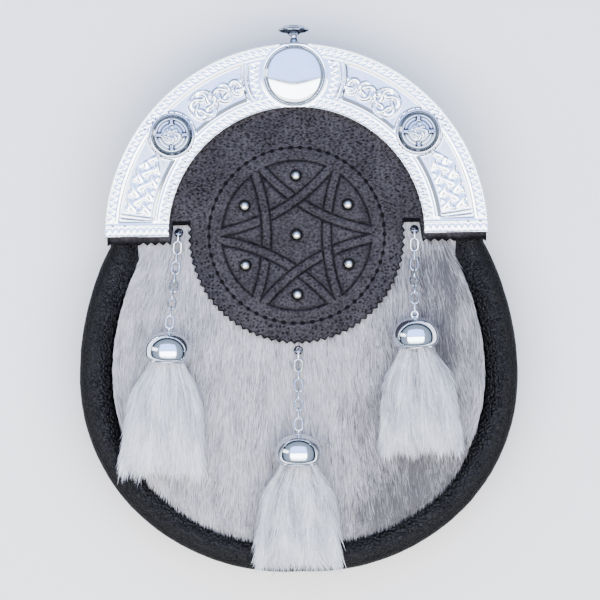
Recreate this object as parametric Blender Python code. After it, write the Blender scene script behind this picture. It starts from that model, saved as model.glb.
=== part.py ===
# A full dress sporran lying on its back: a soft leather pouch with a fur front, a cast metal
# cantle, a pinked leather yoke with studs, and three fur tassels on chains.
# Everything is laid out about the centre of the cantle's arcs, with +X to the wearer's left,
# +Y up the front, +Z out of the front and the floor at Z = 0, and then moved as one.
import math

import bmesh
import bpy
import numpy as np
from mathutils import Matrix, Vector
from mathutils.geometry import delaunay_2d_cdt

MM = 0.001
GAP = 0.3 * MM  # between pieces that touch
LEATHER = 1.8 * MM

# Cantle
CANTLE_OUTER = 83.2 * MM
CANTLE_INNER = 55.3 * MM
CANTLE_PLATE = 3.2 * MM
CANTLE_RIM = 4.3 * MM  # width of the raised border along each arc
CANTLE_END_RIM = 5.5 * MM  # height of the raised bar across each end
RIM_RISE = 0.5 * MM
RELIEF_SLOPE = 0.5 * MM  # plan width of each sloping side of the relief
PANEL_SINK = 0.7 * MM
STRAND_WIDTH = 2.6 * MM
STRAND_RISE = 0.9 * MM
CABOCHON_RADIUS = 12.6 * MM
CABOCHON_RISE = 3.4 * MM
CABOCHON_SEAT = 1.8 * MM  # width of the raised ring round the cabochon
BOSS_MARGIN = 0.25 * MM  # between each boss and the borders beside it
BOSS_RISE = 3.6 * MM
BOSS_ANGLE = math.radians(39.5)  # above the cantle's ends
KNOB_HEIGHT = 7.9 * MM
KNOB_HEAD_RADIUS = 6.7 * MM
KNOB_FOOT_RADIUS = 2.6 * MM

# Pouch
POUCH_DROP = 50.0 * MM  # from the cantle's centre down to the pouch's centre
POUCH_REACH = 97.0 * MM  # from the pouch's centre to its outline, before the table's shares
POUCH_DEPTH = 38.0 * MM
ARCH_MARGIN = 1.7 * MM  # the pouch's arch stands this far inside the cantle's edge
ROLL_WIDTH = 14.5 * MM
FRONT_RECESS = 6.5 * MM  # from the front crest of the roll down to the underside of the fur
BACK_RECESS = 7.0 * MM  # from the floor up to the back panel
BACK_THICKNESS = 2.0 * MM
BACK_MARGIN = 4.0 * MM  # the back panel's arch stands this far inside the cantle's edge
CROWN_RISE = 5.0 * MM
CROWN_LEAVES_SEAM = math.radians(115)  # from straight down, about the pouch's centre
CROWN_MEETS_ARC = math.radians(133)
HIDE = 2.0 * MM
PILE = 2.2 * MM
PILE_EASE = 30.0 * MM  # drop over which the fur grows from pressed to full
FUR_TOP = 14.0 * MM  # how far the fur runs up under the yoke
FUR_LOCK = 2.4 * MM  # depth of the longest locks along the fur's lower edge
LOCK_PITCH = 5.2 * MM
FRINGE_END = math.radians(84)  # the locks end this far from straight down
MOUTH_ANGLE = math.radians(20)  # the gusset ends this far up the cantle's arc

# Yoke
YOKE_MARGIN = 0.9 * MM  # inside the cantle's outer edge
TOOTH_DEPTH = 1.3 * MM
TOOTH_PITCH = 3.4 * MM
WING_DROP = 3.6 * MM
NOTCH_TOP = 5.0 * MM
NOTCH_WIDTH = 7.8 * MM  # from the lobe to each wing, which ends under the cantle's inner arc
STUD_RADIUS = 2.4 * MM
STUD_RISE = 1.7 * MM
STUD_RING = 25.8 * MM

# Belt loops
LOOP_WIDTH = 15.0 * MM
LOOP_LENGTH = 46.0 * MM
LOOP_SPREAD = 38.0 * MM  # from the middle line to each loop
LOOP_RISE = 2.0 * MM  # of the loop's middle above the cantle's centre
LOOP_SLOT = 4.5 * MM
LOOP_END = 7.0 * MM  # length sewn to the panel at each end

# Chains and tassels
LINK_LENGTH = 6.4 * MM
LINK_WIDTH = 4.1 * MM
LINK_WIRE = 0.85 * MM
WASHER_RADIUS = 2.0 * MM
WASHER_HEIGHT = 0.7 * MM
EYE_RADIUS = 1.35 * MM
DOME_RADIUS = 10.1 * MM
DOME_HEIGHT = 13.4 * MM
DOME_WALL = 0.8 * MM
TASSEL_WIDTH = 34.0 * MM
TASSEL_THICKNESS = 15.0 * MM
TASSEL_LENGTH = 49.5 * MM
CLIMB_LINKS = 6  # links that rise from the fur to the dome's eye
LOCKS = 11

PITCH = LINK_LENGTH - 2 * LINK_WIRE - GAP
FRONT_LEVEL = POUCH_DEPTH - FRONT_RECESS
YOKE_LEVEL = FRONT_LEVEL + HIDE + GAP
CANTLE_LEVEL = YOKE_LEVEL + LEATHER + GAP
ARCH_RADIUS = CANTLE_OUTER - ARCH_MARGIN
CANTLE_MIDDLE = (CANTLE_OUTER + CANTLE_INNER) / 2
BOSS_RADIUS = (CANTLE_OUTER - CANTLE_INNER) / 2 - CANTLE_RIM - RELIEF_SLOPE - BOSS_MARGIN
NOTCH_OUTER = CANTLE_INNER - GAP
LOBE_RADIUS = NOTCH_OUTER - NOTCH_WIDTH
SHOULDER = math.pi - math.atan2(
    math.sqrt(ARCH_RADIUS**2 - WING_DROP**2), POUCH_DROP - WING_DROP
)
GRID = 12.0 * MM

# The pouch's outline by angle from straight down, as shares of POUCH_REACH.
OUTLINE = (
    {"angle": 0, "reach": 0.995},
    {"angle": 25, "reach": 1.018},
    {"angle": 50, "reach": 1.030},
    {"angle": 70, "reach": 1.015},
    {"angle": 90, "reach": 0.980},
    {"angle": 105, "reach": 0.965},
    {"angle": 120, "reach": 0.968},
)
# The gusset's section from its seam to its belly: how far in from the outline, as a share of
# ROLL_WIDTH, and how far from mid depth to the front and back crests. The back is pressed flat.
ROLL = (
    {"across": 0.79, "front": 0.90, "back": 0.84},
    {"across": 0.60, "front": 1.00, "back": 1.00},
    {"across": 0.40, "front": 0.99, "back": 1.00},
    {"across": 0.13, "front": 0.80, "back": 0.80},
    {"across": 0.00, "front": 0.38, "back": 0.38},
)
# A tassel from the dome's mouth to its tips, as shares of its length, width and thickness,
# with the depth of the grooves between its locks.
SKIRT = (
    {"along": 0.10, "width": 0.62, "thickness": 0.88, "groove": 0.04},
    {"along": 0.28, "width": 0.88, "thickness": 1.00, "groove": 0.07},
    {"along": 0.55, "width": 0.98, "thickness": 0.88, "groove": 0.10},
    {"along": 0.82, "width": 1.00, "thickness": 0.66, "groove": 0.16},
)
# The outside of a dome from its mouth to its top, as shares of its radius and height.
DOME = (
    {"radius": 0.78, "height": 0.00},
    {"radius": 0.95, "height": 0.13},
    {"radius": 1.00, "height": 0.33},
    {"radius": 0.93, "height": 0.60},
    {"radius": 0.70, "height": 0.83},
    {"radius": 0.32, "height": 0.97},
)
# The knob from its foot to its top, as shares of its head radius and height.
KNOB = (
    {"radius": 0.33, "height": 0.14},
    {"radius": 0.27, "height": 0.30},
    {"radius": 0.36, "height": 0.46},
    {"radius": 0.82, "height": 0.58},
    {"radius": 1.00, "height": 0.70},
    {"radius": 0.90, "height": 0.82},
    {"radius": 0.50, "height": 0.96},
)
# A boss from its rim to its middle, as shares of its radius and rise.
BOSS = (
    {"radius": 1.00, "height": 0.30},
    {"radius": 0.90, "height": 0.55},
    {"radius": 0.74, "height": 0.72},
    {"radius": 0.66, "height": 0.56},
    {"radius": 0.56, "height": 0.62},
    {"radius": 0.48, "height": 0.90},
    {"radius": 0.22, "height": 1.00},
)
# Each chain's side, lean from straight down and number of links, and its tassel's own lean.
TASSELS = (
    {"name": "left", "side": -1, "lean": -6.0, "links": 10, "skirt_lean": -3.9, "length": 1.02},
    {"name": "middle", "side": 0, "lean": -0.6, "links": 8, "skirt_lean": -1.2, "length": 0.94},
    {"name": "right", "side": 1, "lean": -1.4, "links": 9, "skirt_lean": 2.0, "length": 0.96},
)
# The cantle's sunk panels by the angles that they span and the waves of their interlace.
PANELS = (
    {"name": "lower", "start": 5.0, "end": 29.0, "waves": 2.5},
    {"name": "upper", "start": 50.5, "end": 72.0, "waves": 2.5},
)

# Colours as red, green and blue, then metallic and roughness.
FINISHES = {
    "plated": ((0.80, 0.82, 0.85), 1.0, 0.12),
    "black_leather": ((0.018, 0.018, 0.022), 0.0, 0.48),
    "fur": ((0.60, 0.59, 0.60), 0.0, 0.75),
    "tassel_fur": ((0.78, 0.78, 0.82), 0.0, 0.75),
}


def clear_scene():
    for item in list(bpy.data.objects):
        bpy.data.objects.remove(item, do_unlink=True)


def finish(name):
    """The material of that name, made once."""
    if name in bpy.data.materials:
        return bpy.data.materials[name]
    colour, metallic, roughness = FINISHES[name]
    made = bpy.data.materials.new(name)
    made.use_nodes = True
    shader = made.node_tree.nodes["Principled BSDF"]
    shader.inputs["Base Color"].default_value = (*colour, 1.0)
    shader.inputs["Metallic"].default_value = metallic
    shader.inputs["Roughness"].default_value = roughness
    return made


def add_object(name, mesh, material, parent, matrix=None):
    """Makes one named piece from a bmesh, with its faces turned outwards."""
    bmesh.ops.recalc_face_normals(mesh, faces=mesh.faces[:])
    data = bpy.data.meshes.new(name)
    mesh.to_mesh(data)
    mesh.free()
    data.shade_smooth()
    data.set_sharp_from_angle(angle=math.radians(35))
    made = bpy.data.objects.new(name, data)
    data.materials.append(finish(material))
    bpy.context.scene.collection.objects.link(made)
    made.parent = parent
    if matrix is not None:
        made.matrix_local = matrix
    return made


def eased(share):
    share = min(max(share, 0.0), 1.0)
    return share * share * (3 - 2 * share)


def row_value(rows, key, column, at):
    """Reads a table's column at any key, curving smoothly through its rows."""
    keys = [row[key] for row in rows]
    values = [row[column] for row in rows]
    last = len(rows) - 1
    if at <= keys[0]:
        return values[0]
    if at >= keys[last]:
        return values[last]
    low = max(i for i in range(last) if keys[i] <= at)
    span = keys[low + 1] - keys[low]
    share = (at - keys[low]) / span
    slopes = []
    for i in (low, low + 1):
        before, after = max(i - 1, 0), min(i + 1, last)
        slopes.append((values[after] - values[before]) / (keys[after] - keys[before]))
    return (
        values[low] * (2 * share**3 - 3 * share**2 + 1)
        + values[low + 1] * (3 * share**2 - 2 * share**3)
        + slopes[0] * span * (share**3 - 2 * share**2 + share)
        + slopes[1] * span * (share**3 - share**2)
    )


def arc(radius, start, end, steps, centre=(0.0, 0.0)):
    """Points along an arc, both ends included."""
    return [
        (centre[0] + radius * math.cos(a), centre[1] + radius * math.sin(a))
        for a in np.linspace(start, end, steps + 1)
    ]


# The pouch's outlines, as distances from its centre by angle from straight down


def circle_reach(angle, radius):
    """From the pouch's centre to a circle round the cantle's centre."""
    across = POUCH_DROP * math.sin(angle)
    return math.sqrt(radius**2 - across**2) - POUCH_DROP * math.cos(angle)


def outline_reach(angle):
    angle = abs(angle)
    if angle >= SHOULDER:
        return circle_reach(angle, ARCH_RADIUS)
    free = POUCH_REACH * row_value(OUTLINE, "angle", "reach", math.degrees(angle))
    joined = POUCH_REACH * row_value(OUTLINE, "angle", "reach", math.degrees(SHOULDER))
    ease_from = math.radians(90)
    share = eased((angle - ease_from) / (SHOULDER - ease_from))
    return free + (circle_reach(SHOULDER, ARCH_RADIUS) - joined) * share


def pouch_point(angle, reach):
    return (reach * math.sin(angle), -POUCH_DROP - reach * math.cos(angle))


def gusset_angles():
    """The angles of the gusset's sections, from its left end round the bottom to its right."""
    end_x = ARCH_RADIUS * math.cos(MOUTH_ANGLE)
    end_y = ARCH_RADIUS * math.sin(MOUTH_ANGLE) + POUCH_DROP
    mouth = math.pi - math.atan2(end_x, end_y)
    swell = SHOULDER - math.radians(18)
    side = [
        *np.linspace(0, swell, 9)[:-1],
        *np.linspace(swell, SHOULDER, 4)[:-1],
        *np.linspace(SHOULDER, mouth, 3),
    ]
    return [-a for a in side[:0:-1]] + side


def seam_line(inset):
    """The gusset's inner edge, moved in by that much."""
    return [pouch_point(a, outline_reach(a) - ROLL_WIDTH - inset) for a in gusset_angles()]


def seam_at(angle, inset):
    """A point on that edge's straight runs."""
    line = seam_line(inset)
    angles = gusset_angles()
    return (
        float(np.interp(angle, angles, [p[0] for p in line])),
        float(np.interp(angle, angles, [p[1] for p in line])),
    )


# The heights of the front, from the underside of the fur outwards


def crown_edge(angle):
    """Where the crowned front meets its flat border: the seam, or the cantle's inner arc."""
    angle = abs(angle)
    seam = outline_reach(min(angle, CROWN_LEAVES_SEAM)) - ROLL_WIDTH
    inner = circle_reach(max(angle, CROWN_MEETS_ARC), CANTLE_INNER - GAP)
    share = (angle - CROWN_LEAVES_SEAM) / (CROWN_MEETS_ARC - CROWN_LEAVES_SEAM)
    return seam + (inner - seam) * min(max(share, 0.0), 1.0)


def crown_lines():
    """The bend between the crown and its flat border, above the seam."""
    side = [pouch_point(a, crown_edge(a)) for a in np.linspace(CROWN_LEAVES_SEAM, math.pi, 17)]
    return [side + [(-x, y) for x, y in side[-2::-1]]]


def front_height(x, y):
    """The underside of the fur and of the yoke's flat border."""
    angle = math.atan2(x, -(y + POUCH_DROP))
    share = math.hypot(x, y + POUCH_DROP) / crown_edge(angle)
    return FRONT_LEVEL + CROWN_RISE * max(0.0, 1 - share**2)


def fur_top(x, y):
    return front_height(x, y) + HIDE + PILE * eased((-WING_DROP - y) / PILE_EASE)


def yoke_under(x, y):
    return fur_top(x, y) + GAP


def yoke_top(x, y):
    return yoke_under(x, y) + LEATHER


def roll_crest(angle):
    """The front crest of the gusset, which ducks under the yoke at the shoulders."""
    swell = math.radians(18)
    full = eased((SHOULDER - abs(angle)) / swell)
    under_yoke = YOKE_LEVEL - GAP
    return under_yoke + (POUCH_DEPTH - under_yoke) * full


def rest_height(x, y):
    """The highest thing that a tassel lies on at this place: the fur or the roll."""
    angle = math.atan2(x, -(y + POUCH_DROP))
    reach = math.hypot(x, y + POUCH_DROP)
    if reach > outline_reach(angle) - ROLL_WIDTH - FUR_LOCK:
        return max(fur_top(x, y), POUCH_DEPTH)
    return fur_top(x, y)


# Solids made from a flat outline with a height for each face


def inside(points, outline):
    """Which points lie in a closed outline."""
    found = np.zeros(len(points), bool)
    x, y = points[:, 0], points[:, 1]
    for (x0, y0), (x1, y1) in zip(outline, outline[1:] + outline[:1]):
        if y0 == y1:
            continue
        crosses = (y0 > y) != (y1 > y)
        found ^= crosses & (x < (x1 - x0) * (y - y0) / (y1 - y0) + x0)
    return found


def distance_to_line(points, line):
    """How far each point is from an open run of straight pieces."""
    best = np.full(len(points), np.inf)
    for start, end in zip(line, line[1:]):
        a, d = np.array(start), np.subtract(end, start)
        share = np.clip((points - a) @ d / max(d @ d, 1e-18), 0, 1)
        best = np.minimum(best, np.linalg.norm(points - a - share[:, None] * d, axis=1))
    return best


def grid_points(outline, spacing):
    """A triangular grid of points well inside an outline, in the same places for every sheet."""
    low, high = np.min(outline, axis=0), np.max(outline, axis=0)
    row_height = spacing * math.sqrt(3) / 2
    points = []
    for row in range(math.ceil(low[1] / row_height), math.floor(high[1] / row_height) + 1):
        shift = 0.5 * (row % 2)
        for column in range(math.ceil(low[0] / spacing) - 1, math.floor(high[0] / spacing) + 2):
            points.append(((column + shift) * spacing, row * row_height))
    points = np.array(points)
    clear = distance_to_line(points, outline + outline[:1]) > 0.4 * spacing
    return points[clear & inside(points, outline)]


def triangulate(outline, lines, extra):
    """Triangles that fill an outline, with an edge along each line."""
    points = [Vector(p) for p in outline]
    edges = [(i, (i + 1) % len(outline)) for i in range(len(outline))]
    for line in lines:
        first = len(points)
        points += [Vector(p) for p in line]
        edges += [(first + i, first + i + 1) for i in range(len(line) - 1)]
    points += [Vector(p) for p in extra]
    found, _, faces, *_ = delaunay_2d_cdt(points, edges, [], 0, 1e-7)
    flat = np.array([tuple(p) for p in found])
    middles = np.array([flat[list(face)].mean(axis=0) for face in faces])
    kept = inside(middles, outline)
    return flat, [tuple(face) for face, keep in zip(faces, kept) if keep]


def sheet(outline, bottom, top, spacing=None, lines=(), plain_bottom=False):
    """A solid over an outline, between two height functions of x and y."""
    extra = grid_points(outline, spacing) if spacing else []
    flat, faces = triangulate(outline, lines, extra)
    made = bmesh.new()
    upper = [made.verts.new((x, y, top(x, y))) for x, y in flat]
    counts = {}
    for face in faces:
        made.faces.new([upper[i] for i in face])
        for pair in zip(face, face[1:] + face[:1]):
            counts[tuple(sorted(pair))] = counts.get(tuple(sorted(pair)), 0) + 1
    border = [pair for pair, count in counts.items() if count == 1]
    lower = {}
    if plain_bottom:
        needed = {i for pair in border for i in pair}
    else:
        needed = set(range(len(flat)))
    for i in needed:
        x, y = flat[i]
        lower[i] = made.verts.new((x, y, bottom(x, y)))
    for a, b in border:
        made.faces.new([upper[a], upper[b], lower[b], lower[a]])
    if plain_bottom:
        ring = ring_order(border)
        made.faces.new([lower[i] for i in ring])
    else:
        for face in faces:
            made.faces.new([lower[i] for i in face])
    loose = [v for v in made.verts if not v.link_faces]
    bmesh.ops.delete(made, geom=loose, context="VERTS")
    return made


def ring_order(border):
    """A closed border's points in order."""
    beside = {}
    for a, b in border:
        beside.setdefault(a, []).append(b)
        beside.setdefault(b, []).append(a)
    ring = [border[0][0], border[0][1]]
    while True:
        before, here = ring[-2], ring[-1]
        ahead = beside[here][0] if beside[here][0] != before else beside[here][1]
        if ahead == ring[0]:
            return ring
        ring.append(ahead)


# Solids made from rings of points


def loft(rings, closed_path=False):
    """Joins rings of equal length into one skin, and caps the ends of an open one."""
    made = bmesh.new()
    rows = [[made.verts.new(p) for p in ring] for ring in rings]
    pairs = list(zip(rows, rows[1:]))
    if closed_path:
        pairs.append((rows[-1], rows[0]))
    count = len(rows[0])
    for one, other in pairs:
        for i in range(count):
            j = (i + 1) % count
            made.faces.new([one[i], one[j], other[j], other[i]])
    if not closed_path:
        made.faces.new(rows[0])
        made.faces.new(rows[-1])
    return made


def turned(profile, sides, top):
    """A solid turned about Z from (radius, height) points, with a flat foot and a point on top."""
    made = bmesh.new()
    rows = []
    for radius, height in profile:
        angles = [2 * math.pi * i / sides for i in range(sides)]
        rows.append(
            [made.verts.new((radius * math.cos(a), radius * math.sin(a), height)) for a in angles]
        )
    for one, other in zip(rows, rows[1:]):
        for i in range(sides):
            j = (i + 1) % sides
            made.faces.new([one[i], one[j], other[j], other[i]])
    made.faces.new(rows[0])
    tip = made.verts.new((0, 0, top))
    for i in range(sides):
        made.faces.new([rows[-1][i], rows[-1][(i + 1) % sides], tip])
    return made


def tube(path, radius, sides, closed_path=False, up=Vector((0, 0, 1))):
    """A round wire along a path that lies across the direction up."""
    rings = []
    count = len(path)
    for i, point in enumerate(path):
        if closed_path:
            along = path[(i + 1) % count] - path[i - 1]
        else:
            along = path[min(i + 1, count - 1)] - path[max(i - 1, 0)]
        along.normalize()
        side = along.cross(up).normalized()
        ring = []
        for k in range(sides):
            a = 2 * math.pi * k / sides
            ring.append(point + radius * (math.cos(a) * side + math.sin(a) * up))
        rings.append(ring)
    return loft(rings, closed_path)


def fused(meshes):
    """One solid from several that overlap."""
    helpers = []
    for mesh in meshes:
        bmesh.ops.recalc_face_normals(mesh, faces=mesh.faces[:])
        data = bpy.data.meshes.new("helper")
        mesh.to_mesh(data)
        mesh.free()
        helper = bpy.data.objects.new("helper", data)
        bpy.context.scene.collection.objects.link(helper)
        helpers.append(helper)
    for other in helpers[1:]:
        join = helpers[0].modifiers.new("join", "BOOLEAN")
        join.operation = "UNION"
        join.object = other
    graph = bpy.context.evaluated_depsgraph_get()
    data = bpy.data.meshes.new_from_object(helpers[0].evaluated_get(graph))
    made = bmesh.new()
    made.from_mesh(data)
    for helper in helpers:
        bpy.data.objects.remove(helper, do_unlink=True)
    return made


# Pouch


def gusset_section(angle):
    """The gusset's closed section in the upright plane through the pouch's centre."""
    middle = POUCH_DEPTH / 2
    crest = roll_crest(angle)
    outer = [(ROLL_WIDTH, min(FRONT_LEVEL + LEATHER, crest))]
    outer += [(r["across"] * ROLL_WIDTH, middle + r["front"] * (crest - middle)) for r in ROLL]
    outer += [(r["across"] * ROLL_WIDTH, middle - r["back"] * middle) for r in ROLL[::-1]]
    outer += [(ROLL_WIDTH, BACK_RECESS)]
    inner = []
    for i, (across, height) in enumerate(outer):
        before, after = outer[max(i - 1, 0)], outer[min(i + 1, len(outer) - 1)]
        run = Vector((after[0] - before[0], after[1] - before[1])).normalized()
        if i in (0, len(outer) - 1):
            run = Vector((-1 if i == 0 else 1, 0))
        inner.append((across - run.y * LEATHER, height + run.x * LEATHER))
    return outer + inner[::-1]


def make_gusset(parent):
    rings = []
    for angle in gusset_angles():
        reach = outline_reach(angle)
        ring = []
        for across, height in gusset_section(angle):
            x, y = pouch_point(angle, reach - across)
            ring.append((x, y, height))
        rings.append(ring)
    add_object("gusset", loft(rings), "black_leather", parent)


def fur_outline():
    """The fur's edge: locks of changing depth round the bottom, plain sides, a straight top."""
    lock_count = round(2 * FRINGE_END * (POUCH_REACH - ROLL_WIDTH) / LOCK_PITCH)
    fringe = []
    for i in range(2 * lock_count + 1):
        angle = -FRINGE_END + FRINGE_END * i / lock_count
        depth = FUR_LOCK * (0.55 + 0.3 * math.sin(2.1 * i) + 0.15 * math.sin(5.3 * i))
        fringe.append(seam_at(angle, GAP + (depth if i % 2 else 0)))
    beyond = [(a, p) for a, p in zip(gusset_angles(), seam_line(GAP)) if a > FRINGE_END]
    right = [p for _, p in beyond if p[1] < FUR_TOP]
    corner_angle = np.interp(FUR_TOP, [p[1] for _, p in beyond], [a for a, _ in beyond])
    right.append(seam_at(float(corner_angle), GAP))
    left = [(-x, y) for x, y in right[::-1]]
    return fringe + right + left


def make_fur(parent):
    made = sheet(fur_outline(), front_height, fur_top, GRID, crown_lines())
    add_object("fur_front", made, "fur", parent)


def back_outline():
    low = seam_line(GAP)
    end = gusset_angles()[-1]
    radius = CANTLE_OUTER - BACK_MARGIN
    corner = pouch_point(end + 2 * GAP / ARCH_RADIUS, outline_reach(end) - ROLL_WIDTH)
    edge_angle = MOUTH_ANGLE + 4 * GAP / radius
    over = arc(radius, edge_angle, math.pi - edge_angle, 24)
    return low + [corner] + over + [(-corner[0], corner[1])]


def make_back(parent):
    made = sheet(
        back_outline(),
        lambda x, y: BACK_RECESS,
        lambda x, y: BACK_RECESS + BACK_THICKNESS,
        plain_bottom=True,
    )
    add_object("back_panel", made, "black_leather", parent)


def make_belt_loop(name, side, parent):
    """A strap sewn flat at both ends, whose middle stands off the back panel."""
    flat = BACK_RECESS - GAP
    proud = flat - LOOP_SLOT
    half, sewn = LOOP_LENGTH / 2, LOOP_LENGTH / 2 - LOOP_END
    bend = LOOP_SLOT * 0.9
    outer = [
        (-half, flat), (-half, flat - LEATHER), (-sewn - LEATHER / 2, flat - LEATHER),
        (-sewn + bend - LEATHER / 2, proud - LEATHER), (sewn - bend + LEATHER / 2, proud - LEATHER),
        (sewn + LEATHER / 2, flat - LEATHER), (half, flat - LEATHER), (half, flat),
        (sewn, flat), (sewn - bend, proud), (-sewn + bend, proud), (-sewn, flat),
    ]
    x = side * LOOP_SPREAD
    rings = [
        [(x + offset, LOOP_RISE + y, z) for y, z in outer]
        for offset in (-LOOP_WIDTH / 2, LOOP_WIDTH / 2)
    ]
    add_object(name, loft(rings), "black_leather", parent)


# Yoke


def pinked(start, end, teeth, depth_towards):
    """A zigzag between two points, with its roots moved towards a point by TOOTH_DEPTH."""
    start, end, aim = Vector(start), Vector(end), Vector(depth_towards)
    points = []
    for i in range(2 * teeth + 1):
        point = start.lerp(end, i / (2 * teeth))
        if i % 2:
            point = point + (aim - point).normalized() * TOOTH_DEPTH
        points.append(tuple(point))
    return points


def yoke_outline():
    radius = CANTLE_OUTER - YOKE_MARGIN
    tip = math.asin(WING_DROP / radius)
    over = arc(radius, -tip, math.pi + tip, 40)
    wing_end = (NOTCH_OUTER + TOOTH_DEPTH, -WING_DROP)
    wing_teeth = round((abs(over[0][0]) - wing_end[0]) / TOOTH_PITCH)
    right_wing = pinked(wing_end, over[0], wing_teeth, (wing_end[0], CANTLE_OUTER))
    left_wing = [(-x, y) for x, y in right_wing[::-1]]
    top_angle = math.asin(NOTCH_TOP / LOBE_RADIUS)
    start, end = math.pi - top_angle, 2 * math.pi + top_angle
    teeth = round((end - start) * LOBE_RADIUS / TOOTH_PITCH)
    lobe = []
    for i in range(2 * teeth + 1):
        angle = start + (end - start) * i / (2 * teeth)
        radius_here = LOBE_RADIUS - (TOOTH_DEPTH if i % 2 else 0)
        lobe.append((radius_here * math.cos(angle), radius_here * math.sin(angle)))
    notch = [(NOTCH_OUTER, NOTCH_TOP)]
    left_notch = [(-NOTCH_OUTER, NOTCH_TOP)]
    return over[1:-1] + left_wing + left_notch + lobe + notch + right_wing


def make_yoke(parent):
    made = sheet(yoke_outline(), yoke_under, yoke_top, GRID, crown_lines())
    add_object("yoke", made, "black_leather", parent)


def surface_matrix(x, y, height, reach):
    """Stands a piece on a height function, square to its slope at x and y."""
    slope_x = (height(x + reach, y) - height(x - reach, y)) / (2 * reach)
    slope_y = (height(x, y + reach) - height(x, y - reach)) / (2 * reach)
    normal = Vector((-slope_x, -slope_y, 1)).normalized()
    turn = Vector((0, 0, 1)).rotation_difference(normal).to_matrix().to_4x4()
    foot = Vector((x, y, height(x, y))) + normal * GAP
    return Matrix.Translation(foot) @ turn


def make_studs(parent):
    places = [(0.0, 0.0)]
    for i in range(6):
        angle = math.radians(90 - 60 * i)
        places.append((STUD_RING * math.cos(angle), STUD_RING * math.sin(angle)))
    for number, (x, y) in enumerate(places, 1):
        profile = [(STUD_RADIUS, 0.0), (STUD_RADIUS, 0.2 * STUD_RISE)]
        for share in (0.40, 0.75):
            bend = share * math.pi / 2
            height = STUD_RISE * (0.2 + 0.8 * math.sin(bend))
            profile.append((STUD_RADIUS * math.cos(bend), height))
        made = turned(profile, 8, STUD_RISE)
        place = surface_matrix(x, y, yoke_top, STUD_RADIUS)
        add_object(f"stud_{number}", made, "plated", parent, place)


# Cantle


def panel_edges(panel, inset):
    """A sunk panel's corners, in radius and angle, moved in by that much."""
    inner = CANTLE_INNER + CANTLE_RIM + RELIEF_SLOPE + inset
    outer = CANTLE_OUTER - CANTLE_RIM - RELIEF_SLOPE - inset
    start = math.radians(panel["start"]) + inset / CANTLE_MIDDLE
    end = math.radians(panel["end"]) - inset / CANTLE_MIDDLE
    return inner, outer, start, end


def panel_line(panel, inset, side):
    """A panel's closed outline on one side of the cantle."""
    inner, outer, start, end = panel_edges(panel, inset)
    points = arc(inner, start, end, 5) + arc(outer, end, start, 5)
    points.append(points[0])
    return [(side * x, y) for x, y in points]


def strand_line(panel, phase, offset, side):
    """One strand of a panel's interlace: a wave along the panel, moved sideways by offset."""
    inner, outer, start, end = panel_edges(panel, PANEL_SINK + STRAND_WIDTH / 2)
    middle, swing = (inner + outer) / 2, (outer - inner) / 2
    steps = round(5 * panel["waves"])
    points = []
    for share in np.linspace(0, 1, steps + 1):
        angle = start + (end - start) * share
        wave = 2 * math.pi * (panel["waves"] * share / 2) + phase
        radius = middle + swing * math.cos(wave)
        length = (end - start) * middle
        slope = -swing * math.sin(wave) * math.pi * panel["waves"] / length
        tilt = math.atan(slope)
        radius_here = radius + offset * math.cos(tilt)
        angle_here = angle - offset * math.sin(tilt) / radius
        points.append((side * radius_here * math.cos(angle_here),
                       radius_here * math.sin(angle_here)))
    return points


def cabochon_centre():
    return (0.0, CANTLE_MIDDLE)


def boss_centre(side):
    return (side * CANTLE_MIDDLE * math.cos(BOSS_ANGLE), CANTLE_MIDDLE * math.sin(BOSS_ANGLE))


def circle_line(centre, radius, steps):
    points = arc(radius, 0, 2 * math.pi, steps, centre)
    points[-1] = points[0]
    return points


def cantle_strands(side):
    return [
        strand_line(panel, phase, 0.0, side) for panel in PANELS for phase in (0.0, math.pi)
    ]


def cantle_lines():
    """Every line along which the cantle's relief bends."""
    end = CANTLE_END_RIM
    lines = []
    for radius in (CANTLE_INNER + CANTLE_RIM, CANTLE_INNER + CANTLE_RIM + RELIEF_SLOPE,
                   CANTLE_OUTER - CANTLE_RIM, CANTLE_OUTER - CANTLE_RIM - RELIEF_SLOPE):
        low = math.asin(end / radius)
        lines.append(arc(radius, low, math.pi - low, 36))
    for side in (-1, 1):
        for panel in PANELS:
            lines.append(panel_line(panel, 0.0, side))
            lines.append(panel_line(panel, PANEL_SINK, side))
            for phase in (0.0, math.pi):
                for offset in (-STRAND_WIDTH / 2, 0.0, STRAND_WIDTH / 2):
                    lines.append(strand_line(panel, phase, offset, side))
        for height in (end, end - RELIEF_SLOPE):
            lines.append([(side * math.sqrt(CANTLE_INNER**2 - height**2) + side * RELIEF_SLOPE,
                           height),
                          (side * math.sqrt(CANTLE_OUTER**2 - height**2) - side * RELIEF_SLOPE,
                           height)])
    seat = CABOCHON_RADIUS + GAP
    for radius in (seat, seat + RELIEF_SLOPE, seat + CABOCHON_SEAT):
        lines.append(circle_line(cabochon_centre(), radius, 20))
    return lines


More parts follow.
